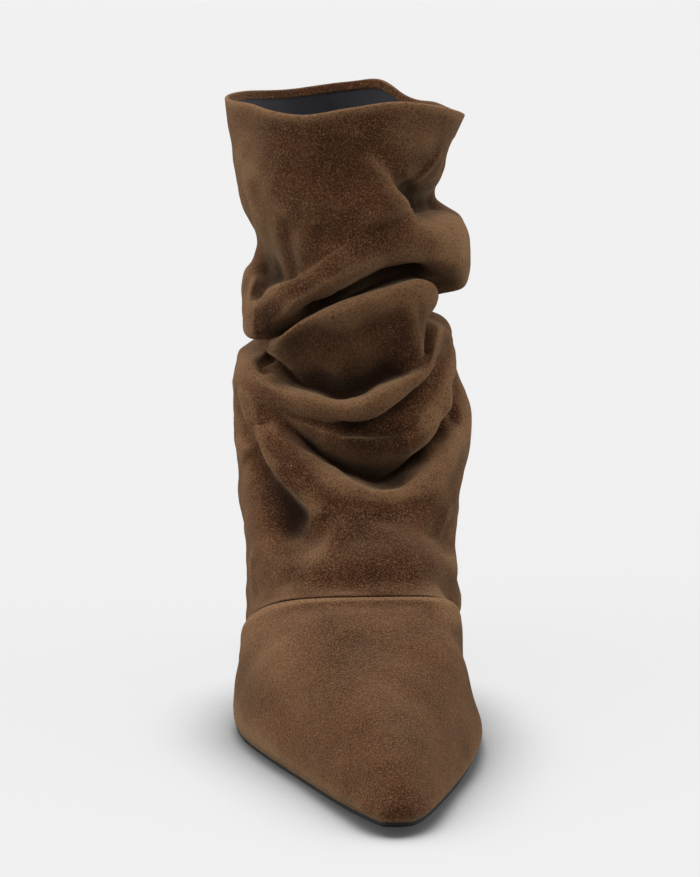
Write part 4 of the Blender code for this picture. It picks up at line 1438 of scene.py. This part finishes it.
@dataclass
class Heel:
    """The covered heel and its top lift."""

    columns: int = 96
    levels: int = 60
    crowding: float = 1.3             # power by which the levels crowd towards the foot
    foot_shares: tuple[float, ...] = (0.0, 0.5, 0.93)    # size of each line under the foot
    foot_rise: float = 0.5 * MM       # how far the wall starts above them
    seat_lines: int = 8

    def ring(self, share: float, inset: float = 0.0) -> tuple[np.ndarray, np.ndarray]:
        """One level of the heel, as a superellipse between its breast and its back.

        Args:
            share: 0 at the foot and 1 at the seat.
            inset: how far in from the heel's own line.

        Returns:
            The x and the station of each point.
        """
        turn = np.linspace(0, 2 * math.pi, self.columns, endpoint=False)
        table = np.array(HEEL_SECTIONS)
        breast, back, half_width, full = (smooth_curve(table[:, 0], table[:, k], [share])[0] for k in (1, 2, 3, 4))
        middle, half_length = FOOT_LENGTH - (breast + back) / 2, (breast - back) / 2 - inset
        across = np.sign(np.sin(turn)) * np.abs(np.sin(turn)) ** (2 / full)
        along = np.sign(np.cos(turn)) * np.abs(np.cos(turn)) ** (2 / full)
        return (half_width - inset) * across, middle + half_length * along

    def shrunk(self, share: float, scale: float) -> tuple[np.ndarray, np.ndarray]:
        """The x and the station of one level of the heel, drawn in towards its middle to a share of its size."""
        x, station = self.ring(share)
        return x * scale, station.mean() + (station - station.mean()) * scale

    def add_cover(self, material: bpy.types.Material) -> bpy.types.Object:
        """The suede-covered block, turned under at its foot, its top on the outsole.

        Args:
            material: the suede.

        Returns:
            The piece.
        """
        foot = LIFT_THICKNESS + GAP
        rows = [to_frame(*self.shrunk(0.0, scale), foot) for scale in self.foot_shares]
        for share in np.linspace(0, 1, self.levels) ** self.crowding:
            x, station = self.ring(share)
            seat = tread_height(station) - GAP
            rows.append(to_frame(x, station, foot + self.foot_rise * (1 - share) + (seat - foot) * share))
        for scale in np.linspace(1, 0, self.seat_lines)[1:]:
            x, station = self.shrunk(1.0, scale)
            rows.append(to_frame(x, station, tread_height(station) - GAP))
        grid = np.array(rows)
        piece = add_grid("heel_cover", grid, True, Side.IN)
        store(piece, "rub_light_and_shade", np.full(len(piece.data.vertices), 0.5))
        store(piece, "crevice_shade", np.zeros(len(piece.data.vertices)))
        merge_close(piece)
        return dress(piece, material, "heel_cover", "heel")

    def add_lift(self, material: bpy.types.Material) -> bpy.types.Object:
        """The top lift, with its edges rounded.

        Args:
            material: the lift's finish.

        Returns:
            The piece.
        """
        rows = [to_frame(*self.ring(0.0, inset * MM), z * MM) for inset, z in LIFT_LINES]
        centre = [rows[0].mean(axis=0) + 0 * rows[0], rows[-1].mean(axis=0) + 0 * rows[-1]]
        piece = add_grid("top_lift_rubber", np.array([centre[0], *rows, centre[1]]), True, Side.IN)
        merge_close(piece)
        return dress(piece, material, "top_lift", "top_lift")


# Studio


@dataclass
class Studio:
    """Pale floor and surroundings, one soft light and the camera at the photograph's angle."""

    camera_reach: float = 1.395       # from the leg's axis to the camera, along the floor
    camera_height: float = 0.414
    camera_pitch: float = 13.1        # degrees down
    camera_turn: float = -3.0         # degrees about the leg's axis
    focal_pixels: float = 3862.0
    frame_height: float = 877.0
    sensor: float = 36.0
    floor_front: float = -6.0         # y of the floor's front edge
    bend_from: float = 2.2            # y at which it starts to curve up
    bend_radius: float = 2.0
    wall_height: float = 6.0
    half_width: float = 7.0
    room_low: float = 0.10            # brightness of the surroundings below
    room_top: float = 0.70            # overhead
    room_side: float = 3.10           # added at the two sides
    side_focus: float = 4.0           # power of the sideways share by which it grows
    key_power: float = 0.50           # the soft light from the upper left
    key_place: tuple[float, float, float] = (-0.8, -0.45, 1.1)      # the direction that it comes from
    key_spread: float = 55.0          # how wide it is seen from the boot, in degrees

    def add_floor(self, material: bpy.types.Material) -> bpy.types.Object:
        """A wide level floor that curves up far behind the boot.

        Args:
            material: the floor's finish.

        Returns:
            The floor, which is no part of the boot.
        """
        bend = np.linspace(0, math.pi / 2, 24)
        radius, back = self.bend_radius, self.bend_from + self.bend_radius
        y = np.concatenate([[self.floor_front, 0.0], self.bend_from + radius * np.sin(bend), [back]])
        z = np.concatenate([[0.0, 0.0], radius - radius * np.cos(bend), [self.wall_height]])
        x = np.linspace(-self.half_width, self.half_width, 5)
        grid = np.stack(np.broadcast_arrays(x[None], y[:, None], z[:, None]), axis=-1)
        floor = add_grid("floor", grid, False)
        floor.data.materials.append(material)
        floor.visible_diffuse = floor.visible_glossy = False
        return floor

    def add_sun(self) -> None:
        """The key light, so wide and far that it lights the floor evenly."""
        light = bpy.data.lights.new("key", "SUN")
        light.angle, light.energy = math.radians(self.key_spread), self.key_power
        lamp = bpy.data.objects.new("key", light)
        lamp.rotation_euler = (-Vector(self.key_place)).to_track_quat("-Z", "Y").to_euler()
        bpy.context.scene.collection.objects.link(lamp)

    def light(self) -> None:
        """The key light and the pale surroundings, which are brightest at both sides."""
        world = bpy.data.worlds.new("pale room")
        room = NodeTree(world)
        background = room.nodes["Background"]
        background.inputs["Color"].default_value = (1.0, 1.0, 1.0, 1.0)
        way = room.nodes.new("ShaderNodeSeparateXYZ")
        room.link(room.nodes.new("ShaderNodeTexCoord").outputs["Generated"], way.inputs["Vector"])
        above = room.between(way.outputs["Z"], -0.1, 1.0, self.room_low, self.room_top, "LINEAR")
        lifted = room.between(way.outputs["Z"], -0.1, 0.15, 0.0, self.room_side, "LINEAR")
        sideways = room.calculate("ABSOLUTE", way.outputs["X"])
        focused = room.calculate("POWER", sideways, self.side_focus)
        strength = room.calculate("MULTIPLY_ADD", focused, lifted, above)
        room.link(strength, background.inputs["Strength"])
        bpy.context.scene.world = world
        self.add_sun()
        bpy.context.scene.view_settings.view_transform = "Standard"

    def add_camera(self) -> None:
        """The camera, turned about the leg's axis and looking down at the boot."""
        data = bpy.data.cameras.new("camera")
        data.sensor_width = self.sensor
        data.lens = self.sensor * self.focal_pixels / self.frame_height
        camera = bpy.data.objects.new("camera", data)
        turn, pitch = math.radians(self.camera_turn), math.radians(self.camera_pitch)
        back = Vector((math.sin(turn), -math.cos(turn), 0.0))
        camera.location = Vector((0, LEG_AXIS - HEEL_CENTRE, self.camera_height)) + back * self.camera_reach
        look = -back * math.cos(pitch) - Vector((0, 0, math.sin(pitch)))
        camera.rotation_euler = look.to_track_quat("-Z", "Y").to_euler()
        bpy.context.scene.collection.objects.link(camera)
        bpy.context.scene.camera = camera


def report(piece: bpy.types.Object) -> None:
    """Logs a piece's name and its number of faces."""
    LOG.info("%s: %d faces", piece.name, len(piece.data.polygons))


def main() -> None:
    logging.basicConfig(level=logging.INFO, format="%(name)s %(message)s")
    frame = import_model()
    suede = SuedeFinish().build()
    lining = LiningFinish().build()
    rubber = RubberFinish().build()
    studio = Studio()
    studio.add_camera()
    studio.light()
    studio.add_floor(FloorFinish().build())
    leg = Leg()
    vamp = Vamp(leg)
    heel = Heel()
    for piece in (
        leg.add_suede(suede),
        leg.add_lining(lining),
        vamp.add_suede(suede),
        vamp.add_lining(lining),
        Sole().add_outsole(rubber),
        heel.add_cover(suede),
        heel.add_lift(rubber),
    ):
        report(piece)
    insole = frame["nodes"]["insole"]
    insole.material_slots[0].material = lining


if __name__ == "__main__":
    main()
